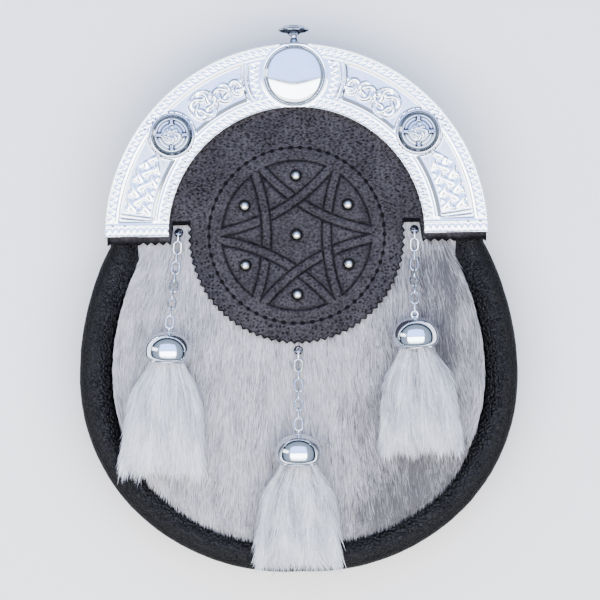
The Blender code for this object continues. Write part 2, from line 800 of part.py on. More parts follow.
def relief_height(x, y, strands):
    """The cantle's cast relief above its back."""
    point = np.array([(x, y)])
    radius = math.hypot(x, y)
    edge = min(radius - CANTLE_INNER, CANTLE_OUTER - radius)
    rim = min(max((CANTLE_RIM + RELIEF_SLOPE - edge) / RELIEF_SLOPE, 0.0), 1.0)
    end_bar = min(max((CANTLE_END_RIM - y) / RELIEF_SLOPE, 0.0), 1.0)
    rise = RIM_RISE * max(rim, end_bar)
    seat = CABOCHON_RADIUS + GAP
    from_cabochon = math.dist((x, y), cabochon_centre())
    if from_cabochon < seat + GAP / 2:
        return CANTLE_PLATE
    if from_cabochon < seat + CABOCHON_SEAT + GAP / 2:
        rise = RIM_RISE
    sink = 0.0
    angle = math.atan2(y, abs(x))
    for panel in PANELS:
        inner, outer, start, end = panel_edges(panel, 0.0)
        depth = min(radius - inner, outer - radius,
                    (angle - start) * CANTLE_MIDDLE, (end - angle) * CANTLE_MIDDLE)
        sink = max(sink, min(max(depth, 0.0), PANEL_SINK))
    knot = 0.0
    if sink > 0:
        for line in strands:
            away = distance_to_line(point, line)[0]
            knot = max(knot, STRAND_RISE * (1 - 2 * away / STRAND_WIDTH))
    return CANTLE_PLATE + rise - sink + knot


def make_cantle(parent):
    strands = cantle_strands(-1) + cantle_strands(1)
    outline = arc(CANTLE_OUTER, 0, math.pi, 36) + arc(CANTLE_INNER, math.pi, 0, 28)
    made = sheet(
        outline,
        lambda x, y: CANTLE_LEVEL,
        lambda x, y: CANTLE_LEVEL + relief_height(x, y, strands),
        lines=cantle_lines(),
        plain_bottom=True,
    )
    add_object("cantle", made, "plated", parent)


def make_cabochon(parent):
    profile = [(CABOCHON_RADIUS, 0.0), (CABOCHON_RADIUS, 0.35 * CABOCHON_RISE)]
    for share in (0.3, 0.6, 0.85):
        bend = share * math.pi / 2
        height = CABOCHON_RISE * (0.35 + 0.65 * math.sin(bend))
        profile.append((CABOCHON_RADIUS * math.cos(bend) ** 0.8, height))
    made = turned(profile, 20, CABOCHON_RISE)
    x, y = cabochon_centre()
    place = Matrix.Translation((x, y, CANTLE_LEVEL + CANTLE_PLATE + GAP))
    add_object("cabochon", made, "plated", parent, place)


def make_boss(name, side, parent):
    """A round shield with a ring groove that four bars cross."""
    profile = [(BOSS_RADIUS, 0.0)]
    profile += [(r["radius"] * BOSS_RADIUS, r["height"] * BOSS_RISE) for r in BOSS]
    pieces = [turned(profile, 16, BOSS_RISE)]
    bar_width = 0.17 * BOSS_RADIUS
    for turn in (0, 1):
        bar = bmesh.new()
        bmesh.ops.create_cube(bar, size=1.0)
        size = Matrix.Diagonal((1.72 * BOSS_RADIUS, bar_width, 0.5 * BOSS_RISE, 1))
        lift = Matrix.Translation((0, 0, 0.53 * BOSS_RISE))
        spin = Matrix.Rotation(turn * math.pi / 2, 4, "Z")
        bar.transform(spin @ lift @ size)
        pieces.append(bar)
    x, y = boss_centre(side)
    place = Matrix.Translation((x, y, CANTLE_LEVEL + CANTLE_PLATE + GAP))
    add_object(name, fused(pieces), "plated", parent, place)


def make_knob(parent):
    profile = [(KNOB_FOOT_RADIUS, 0.0)]
    profile += [(r["radius"] * KNOB_HEAD_RADIUS, r["height"] * KNOB_HEIGHT) for r in KNOB]
    made = turned(profile, 12, KNOB_HEIGHT)
    along_y = Matrix.Rotation(-math.pi / 2, 4, "X")
    middle = CANTLE_LEVEL + CANTLE_PLATE / 2
    place = Matrix.Translation((0, CANTLE_OUTER + GAP, middle)) @ along_y
    add_object("knob", made, "plated", parent, place)


# Chains and tassels


def anchor_place(tassel):
    """Where a chain starts: in a notch of the yoke, or just below its lobe."""
    if tassel["side"] == 0:
        return (0.0, -LOBE_RADIUS - WASHER_RADIUS - 2 * GAP)
    return (tassel["side"] * (LOBE_RADIUS + NOTCH_OUTER) / 2, NOTCH_TOP - WASHER_RADIUS - 4 * GAP)


def clear_height(place, radius):
    """The height at which something round of this radius clears the pouch round that place."""
    ring = arc(radius, 0, 2 * math.pi, 12, place)
    return max(rest_height(x, y) for x, y in ring + [tuple(place)]) + GAP


def chain_joints(tassel):
    """The points where links meet, from the anchor to the dome's eye."""
    lean = math.radians(tassel["lean"])
    heading = Vector((math.sin(lean), -math.cos(lean)))
    here = Vector(anchor_place(tassel))
    count = tassel["links"]
    dome_place = here + heading * (count * PITCH + DOME_HEIGHT / 2)
    goal = clear_height(dome_place, DOME_RADIUS) + DOME_RADIUS
    washer_top = clear_height(here, WASHER_RADIUS) + WASHER_HEIGHT
    lying = GAP + LINK_WIDTH / 2
    joints = [Vector((here.x, here.y, washer_top + lying))]
    for k in range(1, count + 1):
        share = eased((k - count + CLIMB_LINKS) / CLIMB_LINKS)
        step = PITCH
        for _ in range(4):
            ahead = here + heading * step
            low = lying + (washer_top if k == 1 else fur_top(ahead.x, ahead.y))
            height = low + (goal - low) * share
            step = math.sqrt(max(PITCH**2 - (height - joints[-1].z) ** 2, 0.0))
        here = here + heading * step
        joints.append(Vector((here.x, here.y, height)))
    return joints


def link_matrix(start, end, turned_flat):
    """Lays a link between two joints, upright or flat."""
    along = (end - start).normalized()
    across = along.cross(Vector((0, 0, 1))).normalized()
    upright = across.cross(along)
    wide = across if turned_flat else upright
    thin = along.cross(wide)
    turn = Matrix((along, wide, thin)).transposed().to_4x4()
    return Matrix.Translation((start + end) / 2) @ turn


def link_mesh():
    """An oval link in the XY plane, long in X, with straight sides."""
    bend = (LINK_WIDTH - LINK_WIRE) / 2
    half = (LINK_LENGTH - LINK_WIRE) / 2 - bend
    path = []
    for end in (1, -1):
        for i in range(5):
            a = math.radians(-90 + 45 * i)
            path.append(Vector((end * (half + bend * math.cos(a)), end * bend * math.sin(a), 0)))
    return tube(path, LINK_WIRE / 2, 5, closed_path=True)


def make_chain(tassel, parent):
    data = None
    joints = chain_joints(tassel)
    for k in range(tassel["links"]):
        name = f"link_{tassel['name']}_{k + 1}"
        place = link_matrix(joints[k], joints[k + 1], k % 2 == 1)
        if data is None:
            data = add_object(name, link_mesh(), "plated", parent, place).data
            continue
        made = bpy.data.objects.new(name, data)
        bpy.context.scene.collection.objects.link(made)
        made.parent = parent
        made.matrix_local = place


def make_anchor(tassel, parent):
    """A washer on the fur with a wire arch that holds the first link."""
    joints = chain_joints(tassel)
    along = (joints[1] - joints[0]).normalized()
    heading = Vector((along.x, along.y, 0)).normalized()
    x, y = anchor_place(tassel)
    foot = clear_height((x, y), WASHER_RADIUS)
    shift = (LINK_WIRE + GAP) / 2
    rise = joints[0].z - foot
    spread = 1.9 * LINK_WIRE
    path = []
    for i in range(7):
        a = math.pi * i / 6
        path.append(Vector((spread * math.cos(a), shift, rise - spread + spread * math.sin(a))))
    sunk = Vector((0, 0, WASHER_HEIGHT / 2))
    path = [Vector((spread, shift, 0)) + sunk, *path, Vector((-spread, shift, 0)) + sunk]
    arch = tube(path, LINK_WIRE / 2, 6, up=Vector((0, 1, 0)))
    washer = turned([(WASHER_RADIUS, 0.0), (WASHER_RADIUS, 0.6 * WASHER_HEIGHT),
                     (0.82 * WASHER_RADIUS, WASHER_HEIGHT)], 12, WASHER_HEIGHT)
    turn = Vector((0, 1, 0)).rotation_difference(heading).to_matrix().to_4x4()
    place = Matrix.Translation((x, y, foot)) @ turn
    add_object(f"chain_anchor_{tassel['name']}", fused([washer, arch]), "plated", parent, place)


def dome_frame(tassel):
    """The mouth of a dome, with +Z up its axis towards the chain and +X across the front."""
    joints = chain_joints(tassel)
    lean = math.radians(tassel["skirt_lean"])
    down = Vector((math.sin(lean), -math.cos(lean), 0))
    eye = joints[-1] + down * (EYE_RADIUS - (LINK_WIRE + GAP) / 2)
    top = eye + down * (EYE_RADIUS - 0.3 * LINK_WIRE)
    mouth = top + down * DOME_HEIGHT
    across = Vector((-down.y, down.x, 0))
    turn = Matrix((across, Vector((0, 0, -1)), -down)).transposed().to_4x4()
    return Matrix.Translation(mouth) @ turn, eye


def make_dome(tassel, parent):
    """A thin metal bell with a wire eye on top."""
    place, eye = dome_frame(tassel)
    outside = [(r["radius"] * DOME_RADIUS, r["height"] * DOME_HEIGHT) for r in DOME]
    inside_wall = [(outside[0][0] - DOME_WALL, 0.0)]
    for radius, height in outside[1:]:
        inside_wall.append((radius - DOME_WALL, height * (1 - DOME_WALL / DOME_HEIGHT)))
    sides = 12
    made = bmesh.new()
    rows = []
    for radius, height in inside_wall[::-1] + outside:
        angles = [2 * math.pi * i / sides for i in range(sides)]
        rows.append(
            [made.verts.new((radius * math.cos(a), radius * math.sin(a), height)) for a in angles]
        )
    for one, other in zip(rows, rows[1:]):
        for i in range(sides):
            j = (i + 1) % sides
            made.faces.new([one[i], one[j], other[j], other[i]])
    for row, height in ((rows[0], DOME_HEIGHT - DOME_WALL), (rows[-1], DOME_HEIGHT)):
        tip = made.verts.new((0, 0, height))
        for i in range(sides):
            made.faces.new([row[i], row[(i + 1) % sides], tip])
    local_eye = place.inverted() @ eye
    flat_last = (tassel["links"] - 1) % 2 == 1
    path = []
    for i in range(10):
        a = 2 * math.pi * i / 10
        side, along = EYE_RADIUS * math.cos(a), EYE_RADIUS * math.sin(a)
        path.append(local_eye + (Vector((0, side, along)) if flat_last
                                 else Vector((side, 0, along))))
    up = Vector((1, 0, 0)) if flat_last else Vector((0, 1, 0))
    ring = tube(path, LINK_WIRE / 2, 5, closed_path=True, up=up)
    add_object(f"dome_{tassel['name']}", fused([made, ring]), "plated", parent, place)


def skirt_ring(place, distance, half_width, half_thickness, groove, steps):
    """One section of a tassel, fluted into locks, lying on what is under it."""
    centre = place @ Vector((0, 0, -distance))
    across = place.to_3x3() @ Vector((1, 0, 0))
    edge = [centre + across * half_width * share for share in (-1, -0.5, 0, 0.5, 1)]
    centre.z = max(rest_height(p.x, p.y) for p in edge) + GAP + half_thickness
    ring = []
    for i in range(steps):
        a = 2 * math.pi * i / steps
        share = 1 - groove * (i % 2)
        ring.append(centre + across * (half_width * share * math.cos(a))
                    + Vector((0, 0, half_thickness * share * math.sin(a))))
    return ring, centre


def make_tassel(tassel, parent):
    """Fur locks fused to a head that fills the dome's mouth, each lock with its own tip."""
    place, _ = dome_frame(tassel)
    down = place.to_3x3() @ Vector((0, 0, -1))
    across = place.to_3x3() @ Vector((1, 0, 0))
    up = Vector((0, 0, 1))
    steps = 2 * LOCKS
    head = DOME[0]["radius"] * DOME_RADIUS - DOME_WALL - GAP
    length = TASSEL_LENGTH * tassel["length"]
    made = bmesh.new()
    rows = []
    for distance, radius in ((-0.3 * DOME_HEIGHT, head), (0.0, head)):
        centre = place @ Vector((0, 0, -distance))
        ring = []
        for i in range(steps):
            a = 2 * math.pi * i / steps
            ring.append(centre + across * (radius * math.cos(a)) + up * (radius * math.sin(a)))
        rows.append([made.verts.new(p) for p in ring])
    for row in SKIRT:
        ring, centre = skirt_ring(
            place, row["along"] * length, row["width"] * TASSEL_WIDTH / 2,
            row["thickness"] * TASSEL_THICKNESS / 2, row["groove"], steps,
        )
        rows.append([made.verts.new(p) for p in ring])
    for one, other in zip(rows, rows[1:]):
        for i in range(steps):
            j = (i + 1) % steps
            made.faces.new([one[i], one[j], other[j], other[i]])
    made.faces.new(rows[0])
    last, core = rows[-1], []
    for lock in range(LOCKS):
        groove_point = last[(2 * lock + 1) % steps].co
        core.append(made.verts.new(centre.lerp(groove_point, 0.45)))
    for lock in range(LOCKS):
        left, peak, right = last[2 * lock - 1], last[2 * lock], last[2 * lock + 1]
        near, far = core[lock - 1], core[lock]
        reach = (1 - SKIRT[-1]["along"]) * length * (0.86 + 0.14 * math.sin(2.3 * lock))
        tip_centre = centre.lerp(peak.co, 0.86) + down * reach
        floor = rest_height(tip_centre.x, tip_centre.y) + 2 * GAP
        tip_centre.z = max(min(tip_centre.z, peak.co.z), floor)
        tip = made.verts.new(tip_centre)
        for a, b in ((left, peak), (peak, right), (right, far), (far, near), (near, left)):
            made.faces.new([a, b, tip])
    made.faces.new(core[::-1])
    add_object(f"tassel_{tassel['name']}", made, "tassel_fur", parent)


def main():
    clear_scene()
    sporran = bpy.data.objects.new("sporran", None)
    bpy.context.scene.collection.objects.link(sporran)
    top = CANTLE_OUTER + GAP + KNOB_HEIGHT
    bottom = -POUCH_DROP - outline_reach(0)
    sporran.location = (0, -(top + bottom) / 2, 0)
    make_gusset(sporran)
    make_fur(sporran)
    make_back(sporran)
    make_belt_loop("belt_loop_left", -1, sporran)
    make_belt_loop("belt_loop_right", 1, sporran)
    make_yoke(sporran)
    make_studs(sporran)
    make_cantle(sporran)
    make_cabochon(sporran)
    make_boss("boss_left", -1, sporran)
    make_boss("boss_right", 1, sporran)
    make_knob(sporran)
    for tassel in TASSELS:
        make_anchor(tassel, sporran)
        make_chain(tassel, sporran)
        make_dome(tassel, sporran)
        make_tassel(tassel, sporran)


main()
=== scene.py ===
import math

import bpy
import numpy as np
from mathutils import Matrix, Vector
from mathutils.geometry import delaunay_2d_cdt


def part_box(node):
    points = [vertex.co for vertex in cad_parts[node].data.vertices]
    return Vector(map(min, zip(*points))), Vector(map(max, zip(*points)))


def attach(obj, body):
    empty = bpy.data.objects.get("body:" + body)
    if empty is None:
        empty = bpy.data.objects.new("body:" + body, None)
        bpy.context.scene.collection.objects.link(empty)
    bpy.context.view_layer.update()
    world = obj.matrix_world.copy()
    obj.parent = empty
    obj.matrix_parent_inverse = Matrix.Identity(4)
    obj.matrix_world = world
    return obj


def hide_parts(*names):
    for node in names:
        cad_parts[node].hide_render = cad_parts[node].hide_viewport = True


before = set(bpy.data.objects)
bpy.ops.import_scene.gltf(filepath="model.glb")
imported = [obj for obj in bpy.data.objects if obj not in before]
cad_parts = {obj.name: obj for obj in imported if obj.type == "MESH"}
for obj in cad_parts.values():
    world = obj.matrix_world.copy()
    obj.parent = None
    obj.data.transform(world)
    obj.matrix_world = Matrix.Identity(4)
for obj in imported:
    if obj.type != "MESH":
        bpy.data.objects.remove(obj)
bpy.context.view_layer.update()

# A full dress sporran on its back. Shapes are drawn in millimetres about the centre of the
# cantle's arcs, x across, y up the front and z off the floor, and moved into the frame at the end.
mm = 0.001
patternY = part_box("cantle")[0].y  # the cantle's ends stand on y = 0 of the pattern

print("camera and lights")

camera = {"tilt": -0.85, "x": 0.00102, "y": -0.00054, "level": 0.038, "across": 0.26, "lens": 220.0}
lights = {
    "softbox": {"at": (0.0, -0.63, 1.30), "size": (2.2, 1.36), "shine": 3.7, "colour": (1.0, 0.97, 0.90)},
    "card": {"at": (0.0, -0.25, 1.28), "size": (2.2, 0.60), "shine": 6.4, "colour": (1.0, 1.0, 1.0)},
    "blueTop": {"at": (0.0, 0.75, 1.30), "size": (2.4, 1.30), "shine": 3.5, "colour": (0.32, 0.48, 1.0)},
    "left": {"at": (-1.5, 0.35, 0.65), "size": (0.4, 1.0), "shine": 4.0, "colour": (1.0, 1.0, 1.0)},
}
world = ((0.0, (0.02, 0.022, 0.03)), (0.12, (0.03, 0.035, 0.05)), (0.24, (0.38, 0.47, 0.60)),
         (1.0, (0.75, 0.86, 1.05)))


def inScene(name, data):
    made = bpy.data.objects.new(name, data)
    bpy.context.scene.collection.objects.link(made)
    return made


def fillRamp(node, stops):
    while len(node.color_ramp.elements) < len(stops):
        node.color_ramp.elements.new(0.5)
    for element, (position, colour) in zip(node.color_ramp.elements, stops):
        element.position = position
        element.color = (*colour, 1.0) if isinstance(colour, tuple) else (colour, colour, colour, 1.0)


def makeCamera():
    data = bpy.data.cameras.new("view")
    data.lens = camera["lens"]
    data.sensor_width = 36.0
    made = inScene("view", data)
    away = camera["across"] * camera["lens"] / data.sensor_width
    made.location = (camera["x"], camera["y"], camera["level"] + away)
    made.rotation_euler = (0, 0, math.radians(camera["tilt"]))
    data.clip_start, data.clip_end = 0.05, 20
    bpy.context.scene.camera = made


def makeLights():
    for name, row in lights.items():
        data = bpy.data.lights.new(name, "AREA")
        data.shape = "RECTANGLE"
        data.size, data.size_y = row["size"]
        data.energy = row["shine"] * math.pi * data.size * data.size_y
        data.color = row["colour"]
        made = inScene(name, data)
        made.location = row["at"]
        if row["at"][2] < 1:  # the side box looks at the object, the top ones straight down
            aim = Vector((0, 0, 0.03)) - Vector(row["at"])
            made.rotation_euler = aim.to_track_quat("-Z", "Y").to_euler()
    studio = bpy.data.worlds.new("studio")
    bpy.context.scene.world = studio
    studio.use_nodes = True
    tree = studio.node_tree
    where = tree.nodes.new("ShaderNodeTexCoord")
    split = tree.nodes.new("ShaderNodeSeparateXYZ")
    ramp = tree.nodes.new("ShaderNodeValToRGB")
    fillRamp(ramp, world)
    tree.links.new(where.outputs["Generated"], split.inputs[0])
    tree.links.new(split.outputs["Z"], ramp.inputs[0])
    tree.links.new(ramp.outputs[0], tree.nodes["Background"].inputs["Color"])


makeCamera()
makeLights()

print("materials")


class Paint:  # a material and short ways to add its nodes

    def __init__(self, name, colour, roughness, metallic=0.0, **fixed):
        self.made = bpy.data.materials.new(name)
        self.made.use_nodes = True
        self.tree = self.made.node_tree
        self.shader = self.tree.nodes["Principled BSDF"]
        self.set("Base Color", (*colour, 1.0))
        self.set("Roughness", roughness)
        self.set("Metallic", metallic)
        for socket, value in fixed.items():
            self.set(socket.replace("_", " "), value)

    def give(self, socket, value):
        if isinstance(value, bpy.types.NodeSocket):
            self.tree.links.new(value, socket)
        else:
            socket.default_value = value

    def set(self, socket, value):
        self.give(self.shader.inputs[socket], value)

    def node(self, kind, inputs, **settings):
        made = self.tree.nodes.new("ShaderNode" + kind)
        for key, value in settings.items():
            setattr(made, key, value)
        for socket, value in inputs.items():
            self.give(made.inputs[socket], value)
        return made

    def place(self, stretch):
        where = self.node("TexCoord", {}).outputs["Object"]
        return self.node("Mapping", {"Vector": where, "Scale": stretch}).outputs[0]

    def noise(self, scale, detail=3.0, stretch=(1, 1, 1)):
        inputs = {"Vector": self.place(stretch), "Scale": scale, "Detail": detail}
        return self.node("TexNoise", inputs).outputs[0]

    def cells(self, scale, stretch=(1, 1, 1)):
        inputs = {"Vector": self.place(stretch), "Scale": scale}
        return self.node("TexVoronoi", inputs, feature="SMOOTH_F1").outputs[0]

    def layer(self, name):
        return self.node("Attribute", {}, attribute_name=name).outputs["Fac"]

    def ramp(self, value, *stops):
        made = self.node("ValToRGB", {0: value})
        fillRamp(made, stops)
        return made.outputs[0]

    def math(self, kind, one, two, three=0.0):
        return self.node("Math", {0: one, 1: two, 2: three}, operation=kind).outputs[0]

    def mix(self, share, under, colour):
        return self.node("MixRGB", {0: share, 1: under, 2: (*colour, 1.0)}).outputs[0]

    def bump(self, height, distance, strength, under=None):
        inputs = {"Strength": strength, "Distance": distance, "Height": height}
        if under is not None:
            inputs["Normal"] = under
        made = self.node("Bump", inputs).outputs[0]
        self.set("Normal", made)
        return made


def castChrome(name, bright, middle, deepest, roughness):
    paint = Paint(name, bright, roughness, 1.0)
    # darker in the casting's hollows as patina; on the studs, the knob and the chain anchors this layer holds
    # painted highlight and painted shade
    patinaAndShade = paint.layer("patinaAndShade")
    film = paint.noise(260.0, 4.0)
    deep = paint.math("MULTIPLY", patinaAndShade, paint.math("MULTIPLY_ADD", film, 0.6, 0.7))
    paint.set("Base Color", paint.ramp(deep, (0.0, bright), (0.45, middle), (1.0, deepest)))
    rough = paint.math("MULTIPLY_ADD", film, 0.12, roughness - 0.06)
    paint.set("Roughness", paint.math("MULTIPLY_ADD", patinaAndShade, 0.16, rough))
    paint.bump(paint.noise(2600.0, 3.0), 0.00004, 0.35)
    return paint.made


def polishedMetal(name, dull, bright, roughness):
    paint = Paint(name, bright, roughness, 1.0)
    smear = paint.noise(140.0, 4.0)
    scratch = paint.noise(900.0, 2.0, (1.0, 9.0, 1.0))
    paint.set("Base Color", paint.ramp(smear, (0.3, dull), (0.7, bright)))
    paint.set("Roughness", paint.math("MULTIPLY_ADD", smear, 0.07, roughness - 0.03))
    paint.bump(scratch, 0.00001, 0.25)
    return paint.made


def yokeHide():
    paint = Paint("yokeLeather", (0.01, 0.0095, 0.012), 0.42, 0.0, Specular_IOR_Level=0.05)
    pebble = paint.ramp(paint.cells(1100.0, (0.8, 1.0, 1.0)), (0.2, 1.0), (0.75, 0.0))
    broad = paint.noise(90.0, 3.0)
    tone = paint.math("MULTIPLY_ADD", pebble, 0.4, paint.math("MULTIPLY", broad, 0.6))
    colour = paint.ramp(tone, (0.2, (0.0118, 0.0102, 0.012)), (0.5, (0.029, 0.0255, 0.0295)),
                        (0.8, (0.052, 0.0465, 0.052)))
    # lighter on the raised bands
    colour = paint.mix(paint.math("MULTIPLY", paint.layer("wearAndHighlight"), 0.5), colour, (0.05, 0.045, 0.054))
    colour = paint.mix(paint.layer("pit"), colour, (0.0008, 0.0006, 0.001))
    # darker along the tooled grooves, stitch holes and edges, and as painted shade beside the bands and
    # painted shadow round the studs and above the notches
    colour = paint.mix(paint.layer("cutAndShade"), colour, (0.0012, 0.001, 0.0016))
    paint.set("Base Color", colour)
    paint.set("Roughness", paint.math("MULTIPLY_ADD", paint.layer("cutAndShade"), 0.45,
                                      paint.math("MULTIPLY_ADD", pebble, -0.14, 0.48)))
    paint.bump(pebble, 0.0003, 0.9)
    return paint.made


def leather(name, dark, light, roughness, grain, depth, shine, wrinkles=None):
    paint = Paint(name, dark, roughness, 0.0, Specular_IOR_Level=shine)
    cells = paint.cells(grain)
    broad = paint.noise(70.0, 4.0)
    fine = paint.noise(grain * 2.6, 2.0)
    cutAndShade = paint.layer("cutAndShade")
    wearAndHighlight = paint.layer("wearAndHighlight")
    pebble = paint.ramp(cells, (0.15, 1.0), (0.72, 0.0))
    tone = paint.math("MULTIPLY_ADD", broad, 0.4, paint.math("MULTIPLY", pebble, 0.6))
    colour = paint.ramp(tone, (0.25, dark), (0.85, light))
    pale = tuple(min(1.0, 2.4 * c + 0.015) for c in light)
    # lighter where this layer is set: a painted highlight along the roll's crest
    colour = paint.mix(paint.math("MULTIPLY", wearAndHighlight, 0.6), colour, pale)
    # darker and rougher along the back's seam and the loops' grooves, and as painted shade on the roll's
    # flank and beside its seam
    colour = paint.mix(paint.math("MULTIPLY", cutAndShade, 0.85), colour, tuple(0.22 * c for c in dark))
    paint.set("Base Color", colour)
    rough = paint.math("MULTIPLY_ADD", fine, 0.16, roughness - 0.08)
    paint.set("Roughness", paint.math("MULTIPLY_ADD", cutAndShade, 0.5, rough))
    height = paint.math("MULTIPLY_ADD", fine, 0.15, pebble)
    normal = paint.bump(height, depth, 0.7)
    if wrinkles:
        folds = paint.noise(wrinkles[0], 3.0, wrinkles[1])
        paint.bump(folds, wrinkles[2], 0.8, normal)
    return paint.made


def hair(name, deep, middle, bright):
    paint = Paint(name, middle, 0.62, 0.0, Sheen_Weight=0.35, Sheen_Roughness=0.4,
                  Specular_IOR_Level=0.3)
    clumps = paint.math("MULTIPLY_ADD", paint.noise(420.0, 3.0, (1, 0.25, 1)), 0.3, -0.15)
    tone = paint.math("ADD", paint.layer("tone"), clumps)
    paint.set("Base Color", paint.ramp(tone, (0.0, deep), (0.5, middle), (1.0, bright)))
    strands = paint.noise(1500.0, 2.0, (1, 0.1, 1))
    paint.set("Roughness", paint.math("MULTIPLY_ADD", strands, 0.25, 0.5))
    paint.bump(paint.noise(3000.0, 2.0, (1, 0.06, 1)), 0.00012, 0.5)
    return paint.made


def thread(name, colour):
    paint = Paint(name, colour, 0.7, 0.0, Specular_IOR_Level=0.08)
    ply = paint.noise(2600.0, 2.0, (1, 0.3, 1))
    paint.set("Base Color", paint.ramp(ply, (0.3, tuple(0.6 * c for c in colour)), (0.7, colour)))
    paint.bump(ply, 0.0001, 0.6)
    return paint.made


def plainFloor():
    paint = Paint("paleFloor", (0.87, 0.845, 0.82), 0.9, 0.0, Specular_IOR_Level=0.1)
    patches = paint.noise(6.0)
    paint.set("Base Color", paint.ramp(patches, (0.3, (0.867, 0.842, 0.817)), (0.7, (0.873, 0.848, 0.823))))
    return paint.made


paints = {
    "cast": castChrome("castChrome", (0.98, 0.985, 1.0), (0.80, 0.84, 0.93), (0.44, 0.50, 0.64), 0.11),
    "boss": castChrome("bossChrome", (0.46, 0.50, 0.57), (0.17, 0.19, 0.24), (0.012, 0.014, 0.02), 0.12),
    "polished": polishedMetal("polishedChrome", (0.76, 0.82, 0.91), (0.84, 0.89, 0.97), 0.06),
    "chain": polishedMetal("chainSteel", (0.52, 0.55, 0.60), (0.78, 0.82, 0.88), 0.12),
    "nickel": castChrome("studNickel", (0.92, 0.90, 0.85), (0.15, 0.143, 0.13), (0.02, 0.019, 0.018), 0.16),
    "knob": castChrome("knobChrome", (0.60, 0.66, 0.78), (0.24, 0.28, 0.36), (0.012, 0.015, 0.025), 0.10),
    "yoke": yokeHide(),
    "roll": leather("rollLeather", (0.0005, 0.0005, 0.0006), (0.011, 0.0102, 0.0122),
                    0.40, 1000.0, 0.0014, 0.14),
    "back": leather("backLeather", (0.006, 0.0058, 0.007), (0.018, 0.017, 0.02), 0.5, 1300.0, 0.00016, 0.2,
                    wrinkles=(150.0, (1.0, 0.7, 1.0), 0.0003)),
    "fur": hair("sealFur", (0.085, 0.08, 0.087), (0.385, 0.368, 0.382), (0.63, 0.605, 0.62)),
    "tassel": hair("tasselFur", (0.10, 0.105, 0.125), (0.44, 0.445, 0.48), (0.78, 0.785, 0.83)),
    "darkThread": thread("darkThread", (0.0025, 0.0025, 0.0035)),
    "greyThread": thread("greyThread", (0.09, 0.09, 0.095)),
    "floor": plainFloor(),
}

# Shells: a shell is its points and a list of face tables


def eased(share):
    share = np.clip(share, 0.0, 1.0)
    return share * share * (3 - 2 * share)


def ridge(value, at, half):
    return 1 - eased(np.abs(value - at) / half)


def softNoise(x, y, size, seed):
    table = np.random.default_rng(seed).uniform(-1, 1, (61, 61))
    u, v = np.asarray(x) / size, np.asarray(y) / size
    i, j = np.floor(u).astype(int), np.floor(v).astype(int)
    f, g = eased(u - i), eased(v - j)
    near = table[i % 61, j % 61] * (1 - f) + table[(i + 1) % 61, j % 61] * f
    far = table[i % 61, (j + 1) % 61] * (1 - f) + table[(i + 1) % 61, (j + 1) % 61] * f
    return near * (1 - g) + far * g


def softShare(x, y, size, seed):
    return 0.5 + 0.5 * softNoise(x, y, size, seed)


def dimples(x, y, wide, tall, seed):  # small dents, one in each cell of a shaken grid
    table = np.random.default_rng(seed).uniform(0, 1, (97, 97, 3))
    u, v = x / wide, y / tall
    i, j = np.floor(u).astype(int), np.floor(v).astype(int)
    deep = np.zeros_like(x)
    for di in (-1, 0, 1):
        for dj in (-1, 0, 1):
            cell = table[(i + di) % 97, (j + dj) % 97]
            away = np.hypot(u - i - di - 0.1 - 0.8 * cell[..., 0], v - j - dj - 0.1 - 0.8 * cell[..., 1])
            deep = np.maximum(deep, 1 - eased((away - 0.215 * cell[..., 2]) / 0.235))
    return deep


def gridFaces(rows, columns, aroundColumns=False, aroundRows=False):
    i = np.arange(rows if aroundRows else rows - 1)[:, None]
    j = np.arange(columns if aroundColumns else columns - 1)[None, :]
    over, along = (i + 1) % rows, (j + 1) % columns
    table = [i * columns + j, i * columns + along, over * columns + along, over * columns + j]
    return np.stack([np.broadcast_to(t, (i.size, j.size)) for t in table], -1).reshape(-1, 4)


def unit(rows):
    return rows / np.linalg.norm(rows, axis=1)[:, None]


def turnsOf(count):
    return np.arange(count) * 2 * np.pi / count


def arcPoints(turn, radius):
    return np.stack([np.cos(turn), np.sin(turn)], 1) * radius


def closedLine(outline):
    return np.concatenate([outline, outline[:1]])


def runAlong(line):
    return np.r_[0, np.cumsum(np.linalg.norm(np.diff(line, axis=0), axis=1))]


def hermite(values, slopes, low, span, s):
    return (values[low] * (2 * s**3 - 3 * s**2 + 1) + values[low + 1] * (3 * s**2 - 2 * s**3)
            + slopes[low] * span * (s**3 - 2 * s**2 + s) + slopes[low + 1] * span * (s**3 - s**2))


def ringOf(count):
    return np.arange(count), (np.arange(count) + 1) % count


def fan(one, other, tip):
    return np.stack([one, other, np.full(len(one), tip)], 1)


def cappedFaces(rings, around):  # the two middle points come last in the list of points
    here, ahead = ringOf(around)
    last, total = (rings - 1) * around, rings * around
    ends = [fan(ahead, here, total), fan(here + last, ahead + last, total + 1)]
    return [gridFaces(rings, around, True)] + ends


def roundOver(away, radius):  # the share by which a rounded edge has dropped, away from the edge
    return 1 - np.sqrt(np.clip(1 - (1 - np.clip(away / radius, 0, 1))**2, 0, 1))


def joined(shells):
    points, tables, start = [], [], 0
    for shellPoints, shellTables in shells:
        points.append(shellPoints)
        tables += [table + start for table in shellTables]
        start += len(shellPoints)
    return np.concatenate(points), tables


def turned(profile, sides, foot, tip):
    turn = turnsOf(sides)
    rings = [np.stack([r * np.cos(turn), r * np.sin(turn), np.full(sides, h)], 1) for r, h in profile]
    points = np.concatenate(rings + [[[0, 0, foot]], [[0, 0, tip]]])
    return points, cappedFaces(len(profile), sides)


def throughRows(rows, steps):  # a smooth run through two-column rows
    rows = np.asarray(rows, float)
    reach = runAlong(rows)
    slopes = np.gradient(rows, reach, axis=0)
    at = np.linspace(0, reach[-1], steps)
    low = np.clip(np.searchsorted(reach, at, side="right") - 1, 0, len(rows) - 2)
    span = (reach[low + 1] - reach[low])[:, None]
    return hermite(rows, slopes, low, span, (at - reach[low])[:, None] / span)


